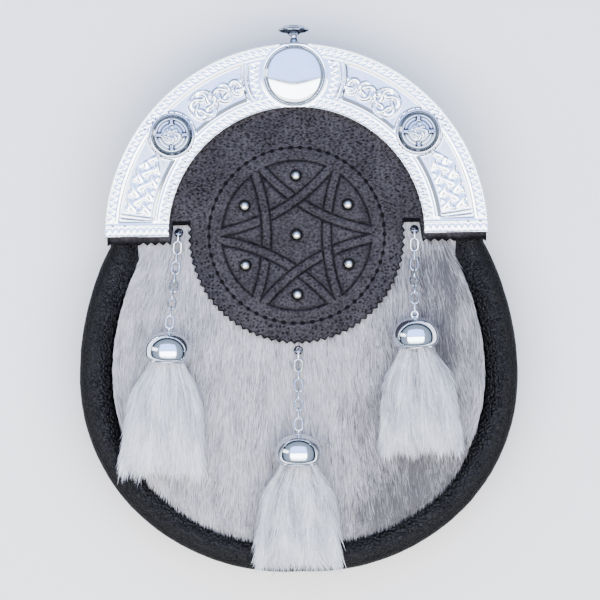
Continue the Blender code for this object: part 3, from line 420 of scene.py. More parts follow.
def tube(path, radius, sides, closed=False, up=(0, 0, 1)):
    path = np.asarray(path, float)
    if closed:
        along = np.roll(path, -1, 0) - np.roll(path, 1, 0)
    else:
        along = np.gradient(path, axis=0)
    along = unit(along)
    side = unit(np.cross(along, up))
    lift = np.cross(side, along)
    turn = turnsOf(sides)
    ring = np.cos(turn)[None, :, None] * side[:, None] + np.sin(turn)[None, :, None] * lift[:, None]
    radius = np.broadcast_to(radius, len(path))
    points = (path[:, None] + ring * radius[:, None, None]).reshape(-1, 3)
    if closed:
        tables = [gridFaces(len(path), sides, True, True)]
    else:
        points = np.concatenate([points, path[:1], path[-1:]])
        tables = cappedFaces(len(path), sides)
    return points, [table[:, ::-1] for table in tables]


def moved(shell, matrix):
    points, tables = shell
    matrix = np.array(matrix)
    return points @ matrix[:3, :3].T + matrix[:3, 3], tables


def addPiece(name, shell, paint, nodes=(), layers=None, sharp=None):
    points, tables = shell
    placed = np.asarray(points, float) * mm
    placed[:, 1] += patternY
    mesh = bpy.data.meshes.new(name)
    mesh.from_pydata(placed.tolist(), [], [face for table in tables for face in table.tolist()])
    mesh.materials.append(paints[paint])
    mesh.shade_smooth()
    if sharp:
        mesh.set_sharp_from_angle(angle=math.radians(sharp))
    for key, values in (layers or {}).items():
        layer = mesh.attributes.new(key, "FLOAT", "POINT")
        layer.data.foreach_set("value", np.asarray(values, np.float32))
    piece = inScene(name, mesh)
    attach(piece, "root")
    if nodes:
        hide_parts(*nodes)


def insideOf(points, outline):
    found = np.zeros(len(points), bool)
    x, y = points[:, 0], points[:, 1]
    for (x0, y0), (x1, y1) in zip(outline, np.roll(outline, -1, 0)):
        if y0 != y1:
            found ^= ((y0 > y) != (y1 > y)) & (x < (x1 - x0) * (y - y0) / (y1 - y0) + x0)
    return found


def fromLine(points, line):
    best = np.full(len(points), np.inf)
    for start, end in zip(line[:-1], line[1:]):
        d = end - start
        share = np.clip((points - start) @ d / max(d @ d, 1e-12), 0, 1)
        best = np.minimum(best, np.linalg.norm(points - start - share[:, None] * d, axis=1))
    return best


def between(points, low, high):  # the points whose distance from the middle is in a range
    radius = np.hypot(*points.T)
    return (radius >= low) & (radius < high)


def hexPoints(outline, spacing, keep=None):
    low, high = outline.min(0), outline.max(0)
    tall = spacing * math.sqrt(3) / 2
    rows = np.arange(math.floor(low[1] / tall), math.ceil(high[1] / tall) + 1)
    columns = np.arange(math.floor(low[0] / spacing) - 1, math.ceil(high[0] / spacing) + 1)
    c, r = np.meshgrid(columns, rows)
    points = np.stack([(c + 0.5 * (r % 2)) * spacing, r * tall], -1).reshape(-1, 2)
    if keep is not None:
        points = points[keep(points)]
    points = points[insideOf(points, outline)]
    return points[fromLine(points, closedLine(outline)) > 0.45 * spacing]


def filled(outline, extra):
    count = len(outline)
    points = [Vector(p) for p in outline] + [Vector(p) for p in extra]
    found, _, faces, *_ = delaunay_2d_cdt(points, [(i, (i + 1) % count) for i in range(count)], [], 1, 1e-6)
    return np.array([tuple(p) for p in found]), np.array([tuple(f) for f in faces])


def sheetShell(outline, top, bottom, extraTop, extraBottom):
    count = len(outline)
    upper, upperFaces = filled(outline, extraTop)
    lower, lowerFaces = filled(outline, extraBottom)
    if np.cross(outline, np.roll(outline, -1, 0)).sum() < 0:
        raise ValueError("the outline runs the wrong way")
    points = np.concatenate([np.c_[upper, top(*upper.T)], np.c_[lower, bottom(*lower.T)]])
    here, ahead = ringOf(count)
    wall = np.stack([here + len(upper), ahead + len(upper), ahead, here], 1)
    return points, [upperFaces, lowerFaces[:, ::-1] + len(upper), wall], len(upper)


print("pouch")

pouch = {"drop": 50.0, "reach": 97.0, "depth": 38.0, "arch": 81.5, "roll": 14.5, "wall": 1.8,
         "level": 31.5, "crown": 5.0, "hide": 2.0, "pile": 2.2, "pileEase": 30.0, "wing": 3.6,
         "back": 7.0, "backThick": 2.0, "backArch": 79.2, "furTop": 14.0, "mouth": 20.0, "gap": 0.3}
outlineRows = ((0, 0.995), (25, 1.018), (50, 1.030), (70, 1.015), (90, 0.980), (105, 0.965), (120, 0.968))
cantleArc = {"outer": 83.2, "inner": 55.3, "middle": 69.25, "level": 35.9, "plate": 3.2}
shoulder = math.pi - math.atan2(math.sqrt(pouch["arch"]**2 - pouch["wing"]**2), pouch["drop"] - pouch["wing"])


def tableAt(rows, at):
    keys, values = np.array(rows, float).T
    last = len(keys) - 1
    slopes = np.array([(values[min(i + 1, last)] - values[max(i - 1, 0)])
                       / (keys[min(i + 1, last)] - keys[max(i - 1, 0)]) for i in range(last + 1)])
    at = np.clip(at, keys[0], keys[-1])
    low = np.clip(np.searchsorted(keys, at, side="right") - 1, 0, last - 1)
    span = keys[low + 1] - keys[low]
    return hermite(values, slopes, low, span, (at - keys[low]) / span)


def circleReach(angle, radius):
    return np.sqrt(radius**2 - (pouch["drop"] * np.sin(angle))**2) - pouch["drop"] * np.cos(angle)


def outlineReach(angle):
    angle = np.abs(angle)
    free = pouch["reach"] * tableAt(outlineRows, np.degrees(angle))
    arc = circleReach(shoulder, pouch["arch"])
    join = arc - pouch["reach"] * tableAt(outlineRows, math.degrees(shoulder))
    free = free + join * eased((angle - math.pi / 2) / (shoulder - math.pi / 2))
    return np.where(angle >= shoulder, circleReach(angle, pouch["arch"]), free)


def pouchPoint(angle, reach):
    return reach * np.sin(angle), -pouch["drop"] - reach * np.cos(angle)


def pouchTurn(x, y):  # the angle and reach of a point, from straight down
    return np.arctan2(x, -(y + pouch["drop"])), np.hypot(x, y + pouch["drop"])


def crownEdge(angle):
    angle = np.abs(angle)
    leaves, meets = math.radians(115), math.radians(133)
    seam = outlineReach(np.minimum(angle, leaves)) - pouch["roll"]
    inner = circleReach(np.maximum(angle, meets), cantleArc["inner"] - pouch["gap"])
    return seam + (inner - seam) * np.clip((angle - leaves) / (meets - leaves), 0, 1)


def frontHeight(x, y):
    angle, reach = pouchTurn(x, y)
    return pouch["level"] + pouch["crown"] * np.maximum(0.0, 1 - (reach / crownEdge(angle))**2)


def furTop(x, y):
    return frontHeight(x, y) + pouch["hide"] + pouch["pile"] * eased((-pouch["wing"] - y) / pouch["pileEase"])


def yokeTop(x, y):
    return furTop(x, y) + pouch["gap"] + pouch["wall"]


def rollCrest(angle):
    under = pouch["level"] + pouch["hide"]
    return under + (pouch["depth"] - under) * eased((shoulder - np.abs(angle)) / math.radians(18))


mouthTurn = math.radians(pouch["mouth"])
mouth = math.pi - math.atan2(pouch["arch"] * math.cos(mouthTurn),
                             pouch["arch"] * math.sin(mouthTurn) + pouch["drop"])

rollRows = ((0.79, 0.90, 0.84), (0.60, 1.00, 1.00), (0.40, 0.99, 1.00), (0.13, 0.80, 0.80), (0.0, 0.38, 0.38))
roll = {"along": 520, "across": 34, "pucker": 0.26, "puckerPitch": 4.3, "crease": 0.12, "sag": 0.08,
        "reach": 90.0, "girth": 70.0}


def rollSection(crest, count):
    middle = pouch["depth"] / 2
    rows = [(pouch["roll"], min(pouch["level"] + pouch["wall"], crest))]
    rows += [(a * pouch["roll"], middle + f * (crest - middle)) for a, f, _ in rollRows]
    rows += [(a * pouch["roll"], middle - b * middle) for a, _, b in rollRows[::-1]]
    rows += [(pouch["roll"], pouch["back"])]
    outer = throughRows(rows, count)
    outer[:, 1] = np.clip(outer[:, 1], 0.02, crest)
    outer[:, 0] = np.maximum(outer[:, 0], 0.0)
    run = unit(np.gradient(outer, axis=0))
    run[0], run[-1] = (-1, 0), (1, 0)
    inner = outer + np.stack([-run[:, 1], run[:, 0]], 1) * pouch["wall"]
    return outer, inner, np.stack([run[:, 1], -run[:, 0]], 1)


def makeRoll():
    angles = np.linspace(-mouth, mouth, roll["along"])
    reach = outlineReach(angles)
    count = roll["across"]
    middle = pouch["depth"] / 2
    rings, paintedRollShade, crestHighlights = [], [], []
    for angle, far in zip(angles, reach):
        crest = float(rollCrest(angle))
        outer, inner, out = rollSection(crest, count)
        along = angle * roll["reach"]
        across = np.linspace(0, 1, count) * roll["girth"]
        front = eased((outer[:, 1] - 14.0) / 10.0)
        lip = eased((outer[:, 0] / pouch["roll"] - 0.62) / 0.30) * front
        free = eased((outer[:, 1] - 1.2) / 2.0) * eased((crest + 0.3 - outer[:, 1]) / 0.5 + 0.4)
        wave = -0.5 - 0.5 * np.cos(2 * np.pi * along / roll["puckerPitch"] + 1.7 * math.sin(along * 0.09))
        swell = lip * wave * roll["pucker"]
        small = softNoise(across + 3.1, along * 0.42, 1.5, 3) + 0.6 * softNoise(across, along, 0.8, 5)
        swell = swell - roll["crease"] * (0.5 + 0.5 * small) * free
        broad = eased((middle - np.abs(outer[:, 1] - middle)) / 8)
        swell = swell - roll["sag"] * softShare(across, along, 11.0, 8) * free * broad
        shown = outer - out * swell[:, None]
        section = np.concatenate([shown, inner[::-1]])
        x, y = pouchPoint(angle, far - section[:, 0])
        rings.append(np.stack([x, y, section[:, 1]], 1))
        # painted shade: darker and rougher on the outer flank, darker beside the seam in step with the
        # puckers, and a little darker on the inner face
        flank = eased((0.42 - outer[:, 0] / pouch["roll"]) / 0.3)
        paintedRollShade.append(np.r_[np.maximum(lip * (-wave) * 0.25, 0.9 * flank), np.full(count, 0.3)])
        # painted highlight: a lighter band along the roll's crest
        crestHighlight = 0.25 * eased((outer[:, 1] - crest + 1.2) / 1.2) * (0.5 + 0.5 * small)
        crestHighlights.append(np.r_[crestHighlight, np.zeros(count)])
    points = np.concatenate(rings)
    tables = [gridFaces(len(angles), 2 * count, True)]
    i = np.arange(count - 1)
    cap = np.stack([i, i + 1, 2 * count - 2 - i, 2 * count - 1 - i], 1)
    tables += [cap[:, ::-1], cap + (len(angles) - 1) * 2 * count]
    addPiece("roll", (points, [t[:, ::-1] for t in tables]), "roll", ["gusset"],
             {"cutAndShade": np.concatenate(paintedRollShade), "wearAndHighlight": np.concatenate(crestHighlights)})


makeRoll()

fur = {"rings": 44, "around": 300, "underRings": (34, 24, 14, 6), "locks": 2.4, "lockPitch": 5.2,
       "fringeEnd": 84.0, "hairs": 50000, "fringe": 23000, "length": (4.0, 8.0), "width": (0.16, 0.34),
       "overhang": 3.4, "underLobe": 43.5, "underWing": 56.0, "wingEnd": 78.0, "onRoll": 34.5}
rollTopRows = ((0.0, 0.38), (1.9, 0.80), (5.8, 0.99), (8.7, 1.0), (11.5, 0.90), (14.5, 0.75))


def seamReach(angle):
    return outlineReach(angle) - pouch["roll"]


def furEdge(angle):
    seam = seamReach(angle) - pouch["gap"]
    cos = np.cos(angle)
    top = np.where(cos < -0.05, (pouch["drop"] + pouch["furTop"]) / np.maximum(-cos, 0.05), 1e3)
    along = np.abs(np.degrees(angle))
    wave = np.abs(np.mod(angle * 82.5 / fur["lockPitch"], 1) - 0.5) * 2
    depth = fur["locks"] * (0.5 + 0.4 * softNoise(angle * 40, angle * 0, 7.0, 12)) * wave
    return np.minimum(seam - depth * (along < fur["fringeEnd"]), top)


def rollTopAt(angle, inset):
    middle = pouch["depth"] / 2
    return middle + tableAt(rollTopRows, inset) * (rollCrest(angle) - middle)


def ribbons(paths, widths, sides):
    # flat tapering hairs: paths is hair x step x 3, sides the sideways direction of each hair
    count, steps = paths.shape[:2]
    taper = np.r_[np.linspace(1.0, 0.75, steps - 1), 0.0]
    left = paths[:, :-1] - sides[:, None] * (widths[:, None] * taper[None, :-1])[..., None]
    right = paths[:, :-1] + sides[:, None] * (widths[:, None] * taper[None, :-1])[..., None]
    block = np.concatenate([np.stack([left, right], 2).reshape(count, -1, 3), paths[:, -1:]], 1)
    each = block.shape[1]
    start = np.arange(count)[:, None] * each
    quads = []
    for k in range(steps - 2):
        quads.append(start + np.array([[2 * k, 2 * k + 1, 2 * k + 3, 2 * k + 2]]))
    tips = start + np.array([[each - 3, each - 2, each - 1]])
    tables = ([np.concatenate(quads)] if quads else []) + [tips]
    return block.reshape(-1, 3), tables, each


def furDark(x, y):  # darker patches, mostly low on the right, and a little darker towards the bottom
    right = eased((x - 8) / 40) * eased((4 - y) / 14)
    patch = 0.4 + 0.6 * eased(0.5 + 0.9 * softNoise(x, y * 0.6, 15.0, 31))
    low = eased((-y - 95) / 30)
    return 0.57 * right * patch + 0.12 * low * patch + 0.14 * softShare(x, y * 0.5, 8.0, 32)


def makeFur():
    angles = np.linspace(-np.pi, np.pi, fur["around"], endpoint=False)
    shares = np.linspace(0, 1, fur["rings"] + 1)[1:]
    reach = furEdge(angles)
    a, s = np.meshgrid(angles, shares)
    x, y = pouchPoint(a, reach[None] * s)
    edge = 0.9 * (s > 0.999)
    high = furTop(x, y) - edge - 0.15 + 0.18 * softNoise(x, y, 2.2, 21)
    top = np.stack([x, y, high], -1).reshape(-1, 3)
    low = np.stack([x[-1], y[-1], frontHeight(x[-1], y[-1])], -1)
    drop = pouch["drop"]
    centre = [[0, -drop, float(furTop(0.0, -drop))]]
    under = [[0, -drop, float(frontHeight(0.0, -drop))]]
    n = fur["around"]
    inner = [np.stack([x[k], y[k], frontHeight(x[k], y[k])], -1) for k in fur["underRings"]]
    base = len(top) + 1
    points = np.concatenate([top, centre, low, *inner, under])
    here, ahead = ringOf(n)
    tables = [gridFaces(fur["rings"], n, True), fan(ahead, here, len(top))]
    rim = len(top) - n
    tables.append(np.stack([here + rim, ahead + rim, ahead + base, here + base], 1)[:, ::-1])
    tables.append((gridFaces(1 + len(inner), n, True) + base)[:, ::-1])
    last = base + len(inner) * n
    tables.append(fan(here + last, ahead + last, len(points) - 1))
    tables = [t[:, ::-1] for t in tables]
    x, y = points.T[:2]
    tone = 0.45 + 0.22 * softNoise(x, y * 0.3, 2.5, 22) - furDark(x, y)
    addPiece("furSkin", (points, tables), "fur", ["fur_front"], {"tone": tone})


def hairGround(x, y, angle, inset):  # the height of what a hair lies on: the fur, or the roll beside it
    blend = eased((pouch["roll"] + 2.5 - inset) / 2.5)
    onRoll = np.maximum(rollTopAt(angle, np.clip(inset, 0, pouch["roll"])), fur["onRoll"])
    return np.where(inset < pouch["roll"] + 0.2, onRoll, furTop(x, y) + blend * 0.5)


def hairBed(name, count, seed, edgeOnly):
    rng = np.random.default_rng(seed)
    angle = rng.uniform(-np.pi, np.pi, count)
    share = np.sqrt(rng.uniform(0, 1, count))
    if edgeOnly:
        angle = rng.uniform(-1.75, 1.75, count)
        share = 1 - rng.uniform(0.0, 0.075, count)
    edge = seamReach(angle) - 0.4 if edgeOnly else furEdge(angle)
    x, y = pouchPoint(angle, edge * share)
    hidden = (np.hypot(x, y) < fur["underLobe"]) | ((y > -2) & (np.abs(x) > fur["underWing"]))
    x, y = x[~hidden], y[~hidden]
    count = len(x)
    lean = 0.20 * x / 80 + 0.18 * softNoise(x, y, 9.0, 42) + rng.normal(0, 0.09, count)
    at, reach = pouchTurn(x, y)
    rim = eased((reach / seamReach(at) - 0.86) / 0.12)
    rim = rim * eased((np.abs(at) - 0.7) / 0.6)
    tangent = np.sign(at) * (np.abs(at) - np.pi / 2)  # along the seam, pointing down
    lean = lean * (1 - rim) + (tangent + rng.normal(0, 0.07, count)) * rim
    heading = np.stack([np.sin(lean), -np.cos(lean)], 1)
    length = rng.uniform(*fur["length"], count) * (0.85 if edgeOnly else 1.0)
    share = np.linspace(0, 1, 4)
    flat = np.stack([x, y], 1)[:, None] + heading[:, None] * (length[:, None] * share)[..., None]
    px, py = flat[..., 0], flat[..., 1]
    at, reach = pouchTurn(px, py)
    inset = outlineReach(at) - reach
    springy = rng.uniform(-0.12, 0.5, count)[:, None] * np.array([0, 0.8, 1.0, 0.9])
    height = hairGround(px, py, at, inset) + np.array([-0.5, 0.30, 0.42, 0.30])[None] + springy
    height[:, 1:] = np.maximum(height[:, 1:], height[:, :1] + 0.15)
    paths = np.concatenate([flat, height[..., None]], -1)
    past = fur["overhang"] * (1 - 0.85 * eased((np.abs(at[:, -1]) - 0.95) / 0.5))
    keep = inset[:, -1] > pouch["roll"] - past * rng.uniform(0.15, 1.0, count)**0.8
    keep &= ~((py[:, -1] > -4.4) & (np.abs(px[:, -1]) > fur["wingEnd"]))
    if edgeOnly:
        keep &= inset[:, -1] < pouch["roll"] + 1.5
    paths, x, y, heading = paths[keep], x[keep], y[keep], heading[keep]
    count = len(paths)
    side = unit(np.stack([-heading[:, 1], heading[:, 0], rng.normal(0, 0.25, count)], 1))
    widths = rng.uniform(*fur["width"], count) / 2 * (0.7 if edgeOnly else 1.0)
    points, tables, each = ribbons(paths, widths, side)
    tone = 0.65 + rng.normal(0, 0.15, count) - furDark(x, y) + 0.14 * softNoise(x, y * 0.25, 3.0, 44)
    tone = tone - 0.28 * (rng.uniform(size=count) < 0.07)
    tone = np.repeat(tone, each) + np.tile(np.r_[np.linspace(-0.08, 0.05, each - 1), 0.08], count)
    addPiece(name, (points, tables), "fur", (), {"tone": tone})


makeFur()
hairBed("furHairs", fur["hairs"], 41, False)
hairBed("furFringe", fur["fringe"], 43, True)

print("yoke")

yoke = {"outer": 82.3, "lobe": 47.2, "tooth": 1.3, "toothPitch": 3.4, "drop": 3.6, "notchTop": 5.0,
        "notchOuter": 53.4, "fine": 0.38, "middling": 0.43, "coarse": 5.0,
        "ring": 38.1, "rim": 32.4, "bandCurve": 78.6, "bandCentre": 91.6, "bandHalf": 2.05,
        "bandReach": math.cos(math.radians(60.5)),
        "groove": 0.80, "sunk": 0.60, "rise": 0.25, "halo": 2.2,
        "stitchPitch": 4.1, "stitchLength": 1.8, "stitchWidth": 1.15}


def pinkedLine(start, end, teeth, towards):
    start, end, towards = (np.array(p, float) for p in (start, end, towards))
    line = start + (end - start) * np.linspace(0, 1, 2 * teeth + 1)[:, None]
    line[1::2] += unit(towards - line)[1::2] * yoke["tooth"]
    return line


def yokeOutline():
    tip = math.asin(yoke["drop"] / yoke["outer"])
    turn = np.linspace(-tip, math.pi + tip, 200)
    over = arcPoints(turn, yoke["outer"])
    wingEnd = (yoke["notchOuter"] + yoke["tooth"], -yoke["drop"])
    teeth = round((over[0][0] - wingEnd[0]) / yoke["toothPitch"])
    rightWing = pinkedLine(wingEnd, over[0], teeth, (wingEnd[0], cantleArc["outer"]))
    leftWing = rightWing[::-1] * (-1, 1)
    top = math.asin(yoke["notchTop"] / yoke["lobe"])
    teeth = round((math.pi + 2 * top) * yoke["lobe"] / yoke["toothPitch"])
    turn = np.linspace(math.pi - top, 2 * math.pi + top, 8 * teeth + 1)
    inward = np.abs((np.arange(8 * teeth + 1) / 4) % 2 - 1)
    reach = yoke["lobe"] - yoke["tooth"] * (1 - inward)
    lobe = arcPoints(turn, reach[:, None])
    notch = np.array([(yoke["notchOuter"], yoke["notchTop"])])
    return np.concatenate([over[1:-1], leftWing, notch * (-1, 1), lobe, notch, rightWing])


stud = {"radius": 2.4, "rise": 1.7, "ring": 25.8, "foot": -0.25}
studTurns = [math.radians(60 * k) for k in range(6)]
studPlaces = [(0.0, 0.0)] + [(stud["ring"] * math.sin(t), stud["ring"] * math.cos(t)) for t in studTurns]
yokeStitchCount = round(2 * math.pi * yoke["ring"] / yoke["stitchPitch"])


def yokeEmboss(x, y):
    radius, angle = np.hypot(x, y), np.arctan2(y, x)
    away, near = [], []
    for k in range(6):
        middle = math.radians(60 * k + 60)
        cx, cy = yoke["bandCentre"] * math.cos(middle), yoke["bandCentre"] * math.sin(middle)
        away.append(np.abs(np.hypot(x - cx, y - cy) - yoke["bandCurve"]))
        near.append((radius < yoke["rim"] + 0.6) & (np.cos(angle - middle) > yoke["bandReach"]))
    groove, rise, halo = np.zeros_like(x), np.zeros_like(x), np.zeros_like(x)
    half, wide = yoke["bandHalf"], yoke["groove"]
    for k in range(6):
        covered = near[(k + 1) % 6] & (away[(k + 1) % 6] < half + 0.25)
        line = ridge(away[k], half, wide) * near[k] * ~covered
        groove = np.maximum(groove, line)
        halo = np.maximum(halo, (1 - eased((away[k] - half) / yoke["halo"])) * near[k])
        body = np.clip(1 - (away[k] / half)**2, 0, 1) * near[k] * ~covered
        rise = np.maximum(rise, body)
    point = np.abs((np.degrees(angle) + 30) % 60 - 30)
    groove = np.maximum(groove, ridge(radius, yoke["rim"], wide) * (point > 5.8))
    inward = yoke["rim"] - radius
    halo = np.maximum(halo, (1 - eased(inward / yoke["halo"])) * (inward > 0))
    ring = ridge(radius, yoke["ring"], 0.6)
    turns = np.mod(angle * yokeStitchCount / (2 * np.pi) + 0.5, 1) - 0.5
    along = np.abs(turns) * 2 * np.pi * yoke["ring"] / yokeStitchCount
    hole = 1 - eased((np.hypot(along / 1.15, (radius - yoke["ring"]) / 0.95) - 0.6) / 0.5)
    petal = eased((yoke["rim"] - 1 - radius) / 3) * eased((radius - 17) / 5) * (rise < 0.01)
    height = rise * yoke["rise"] - groove * yoke["sunk"] - ring * 0.3 - hole * 0.35 + 0.12 * petal
    # darkened: the tooled grooves, and a soft halo of painted shade beside the bands and just inside the rim
    shade = np.maximum(groove, 0.38 * halo * (rise < 0.01))
    # painted shadow: the leather is darkened in a ring round each stud, where the stud also presses a shallow
    # dent
    nearStud = np.min([np.hypot(x - sx, y - sy) for sx, sy in studPlaces], 0)
    dentAndShadow = 1 - eased((nearStud - stud["radius"] - 0.2) / 0.9)
    dark = np.maximum(np.maximum(0.9 * shade, 0.75 * ring), np.maximum(hole, 0.5 * dentAndShadow))
    return height - 0.12 * dentAndShadow, dark


def yokePits(x, y):  # long dents above, round pits below, fainter inside the ring
    radius = np.hypot(x, y)
    upper = eased((y + 4) / 16)
    sway = 0.5 * softNoise(x, y, 6.0, 56)
    longDents = dimples(x + sway, y + sway, 2.0, 0.92, 57)
    roundDents = dimples(x + sway, y, 1.7, 1.45, 58)
    outside = eased((radius - yoke["rim"] - 3) / 2)
    beside = eased((np.abs(radius - yoke["ring"]) - 0.9) / 0.8)
    return (longDents * upper + roundDents * (1 - upper)) * (0.7 + 0.3 * outside) * beside


def yokeSkin(x, y):
    # the second value is the darkening: tooled grooves, the stitch ring and holes, painted shade beside the
    # bands and painted shadow round the studs
    height, groove = yokeEmboss(x, y)
    pits = yokePits(x, y) * (1 - groove)
    return yokeTop(x, y) + height - 0.34 * pits - 0.06 * softShare(x, y, 1.0, 53), groove, pits


def makeYokeStitches():
    arch = np.array([-0.35, -0.05, 0.08, 0.12, 0.08, -0.05, -0.35])
    radius = yoke["stitchWidth"] / 2 * np.array([0.7, 1, 1, 1, 1, 1, 0.7])
    spread = yoke["stitchLength"] / 2 / yoke["ring"]
    stitches = []
    for k in range(yokeStitchCount):
        turn = 2 * math.pi * k / yokeStitchCount
        at = np.linspace(turn - spread, turn + spread, len(arch))
        x, y = np.cos(at) * yoke["ring"], np.sin(at) * yoke["ring"]
        stitches.append(tube(np.stack([x, y, yokeTop(x, y) - 0.55 + arch], 1), radius, 8))
    addPiece("yokeStitches", joined(stitches), "darkThread")


def makeYoke():
    outline = yokeOutline()
    zones = ((yoke["fine"], 0, yoke["ring"] + 2), (yoke["middling"], yoke["ring"] + 2.3, 57),
             (yoke["coarse"], 58, yoke["outer"]))
    extra = np.concatenate([hexPoints(outline, spacing, lambda p: between(p, low, high))
                            for spacing, low, high in zones])
    under = hexPoints(outline, yoke["coarse"])
    points, tables, count = sheetShell(outline, lambda x, y: yokeSkin(x, y)[0],
                                       lambda x, y: furTop(x, y) + pouch["gap"], extra, under)
    x, y = points.T[:2]
    upper = np.arange(len(points)) < count
    _, groove, pits = yokeSkin(x, y)
    # darkened: on the top, the grooves with the painted shade and stud shadows; the underside; and a thin
    # band along the cut and pinked edges, partly the leather's dark edge and partly painted shadow
    cutAndShade = np.where(upper, groove, 0.9)
    cutAndShade[:len(outline)] = 0.9
    rim = np.flatnonzero(between(points[:, :2], 43, 58) & upper)
    away = fromLine(points[rim, :2], closedLine(outline))
    cutAndShade[rim] = np.maximum(cutAndShade[rim], 0.85 * (1 - eased((away - 0.25) / 0.6)))
    over = (y > yoke["notchTop"]) & (y < yoke["notchTop"] + 1.9)  # painted shadow in a band just above a notch
    over &= (np.abs(x) > yoke["lobe"] - 1.2) & (np.abs(x) < yoke["notchOuter"] + 0.4)
    cutAndShade[over] = np.maximum(cutAndShade[over], 0.95)
    wearAndHighlight = np.clip(yokeEmboss(x, y)[0] / yoke["rise"], 0, 1) * 0.3 * softShare(x, y, 2.0, 55)
    addPiece("yokeLeather", (points, tables), "yoke", ["yoke"],
             {"cutAndShade": cutAndShade, "wearAndHighlight": wearAndHighlight, "pit": pits}, 40)
    makeYokeStitches()


makeYoke()

print("cantle")

cantle = {"rings": 86, "along": 690, "recessBlur": 4, "edge": np.array([0, 0.1, 0.3, 0.55]), "start": 0.85,
          "reach": 69.0}
upperKnots = ((55.2, 1.0, 5, 0.0), (63.2, 0.72, 3, 0.5), (69.0, 0.60, 3, 2.6))  # turn, size, lobes, phase
bossAngle = math.radians(39.5)


def zigzag(across, along, half, pitch, width=0.45):
    line = half * (4 * np.abs((along / pitch) % 1 - 0.5) - 1)
    lean = 1 / math.hypot(1, 4 * half / pitch)
    return 1 - eased(np.abs(across - line) * lean / width)


def plateau(value, low, high, slope):
    return eased((value - low) / slope) * eased((high - value) / slope)


def knot(x, y, ring, swing, lobes, turns, width, phase=0.0):
    # an interlaced ring: one closed strand that passes over and under itself
    t = np.linspace(0, 2 * np.pi * turns, 60 * turns + 1)
    reach = ring + swing * np.cos(lobes * t / turns + phase)
    px, py = reach * np.cos(t), reach * np.sin(t)
    pz = np.sin(lobes * t / turns + phase)
    best = np.zeros_like(x)
    for k in range(len(t) - 1):
        ax, ay, dx, dy = px[k], py[k], px[k + 1] - px[k], py[k + 1] - py[k]
        share = np.clip(((x - ax) * dx + (y - ay) * dy) / (dx * dx + dy * dy), 0, 1)
        away = np.hypot(x - ax - share * dx, y - ay - share * dy)
        body = np.clip(1 - (away / width)**2, 0, 1)**0.6 * (0.68 + 0.32 * pz[k])
        best = np.maximum(best, body)
    return best


def plait(u, v, cell, width):
    a, b = (u + v) / cell, (u - v) / cell
    i, j = np.round(a), np.round(b)
    strandA = np.clip(1 - ((a - i) * cell / math.sqrt(2) / width)**2, 0, 1)**0.6
    strandB = np.clip(1 - ((b - j) * cell / math.sqrt(2) / width)**2, 0, 1)**0.6
    strandA = strandA * (0.66 + 0.34 * np.cos(np.pi * (b + i)))
    strandB = strandB * (0.66 - 0.34 * np.cos(np.pi * (a + j)))
    return np.maximum(strandA, strandB)


def cantleBorders(x, y, outer, inner, run):  # rope borders and beads along both arcs and the ends
    high = 0.42 * plateau(outer, 0.0, 1.25, 0.3) + 0.40 * zigzag(outer - 2.75, run, 1.05, 2.9)
    high += 0.40 * ridge(outer, 4.75, 0.55)
    high += 0.35 * plateau(inner, 0.0, 0.9, 0.3)
    high += 0.38 * zigzag(inner - 2.7, run, 1.25, 2.7)
    high += 0.35 * ridge(inner, 5.1, 0.5) + 0.35 * ridge(inner, 6.7, 0.5)
    bars = eased((7.0 - y) / 0.5)
    ends = 0.40 * plateau(y, 0.0, 0.9, 0.25) + 0.36 * zigzag(y - 2.6, x, 1.15, 2.7)
    return high * (1 - bars) + bars * (ends + 0.34 * ridge(y, 5.0, 0.6))


def lowerPanel(u, v):  # a plait with a pointed top over a double line
    half, point, end = 5.6, 18.0, 27.0
    taper = half * np.clip((end - v) / (end - point), 0, 1)**0.8
    wide = np.where(v < point, half, np.minimum(taper, half))
    shape = eased((wide - np.abs(u)) / 0.35) * eased((v + 0.2) / 0.4) * (v < end)
    return shape, 0.62 * plait(u, v + 0.3, 6.4, 1.15)


def upperPanel(x, y, high, fromBoss):  # a roundel, then knots towards the cabochon
    for turn, size, lobes, phase in upperKnots:
        turn = math.radians(turn)
        px, py = cantleArc["middle"] * math.cos(turn), cantleArc["middle"] * math.sin(turn)
        local = np.hypot(np.abs(x) - px, y - py) < 7 * size
        u, v = np.abs(x[local]) - px, y[local] - py
        made = knot(u, v, 3.9 * size, 1.5 * size, lobes, 2, 0.85, phase)
        if size == 1.0:
            made = np.maximum(made, 0.9 * ridge(np.hypot(u, v), 6.2, 0.5))
        high[local] = high[local] + 0.75 * made * (fromBoss[local] > 10.9)


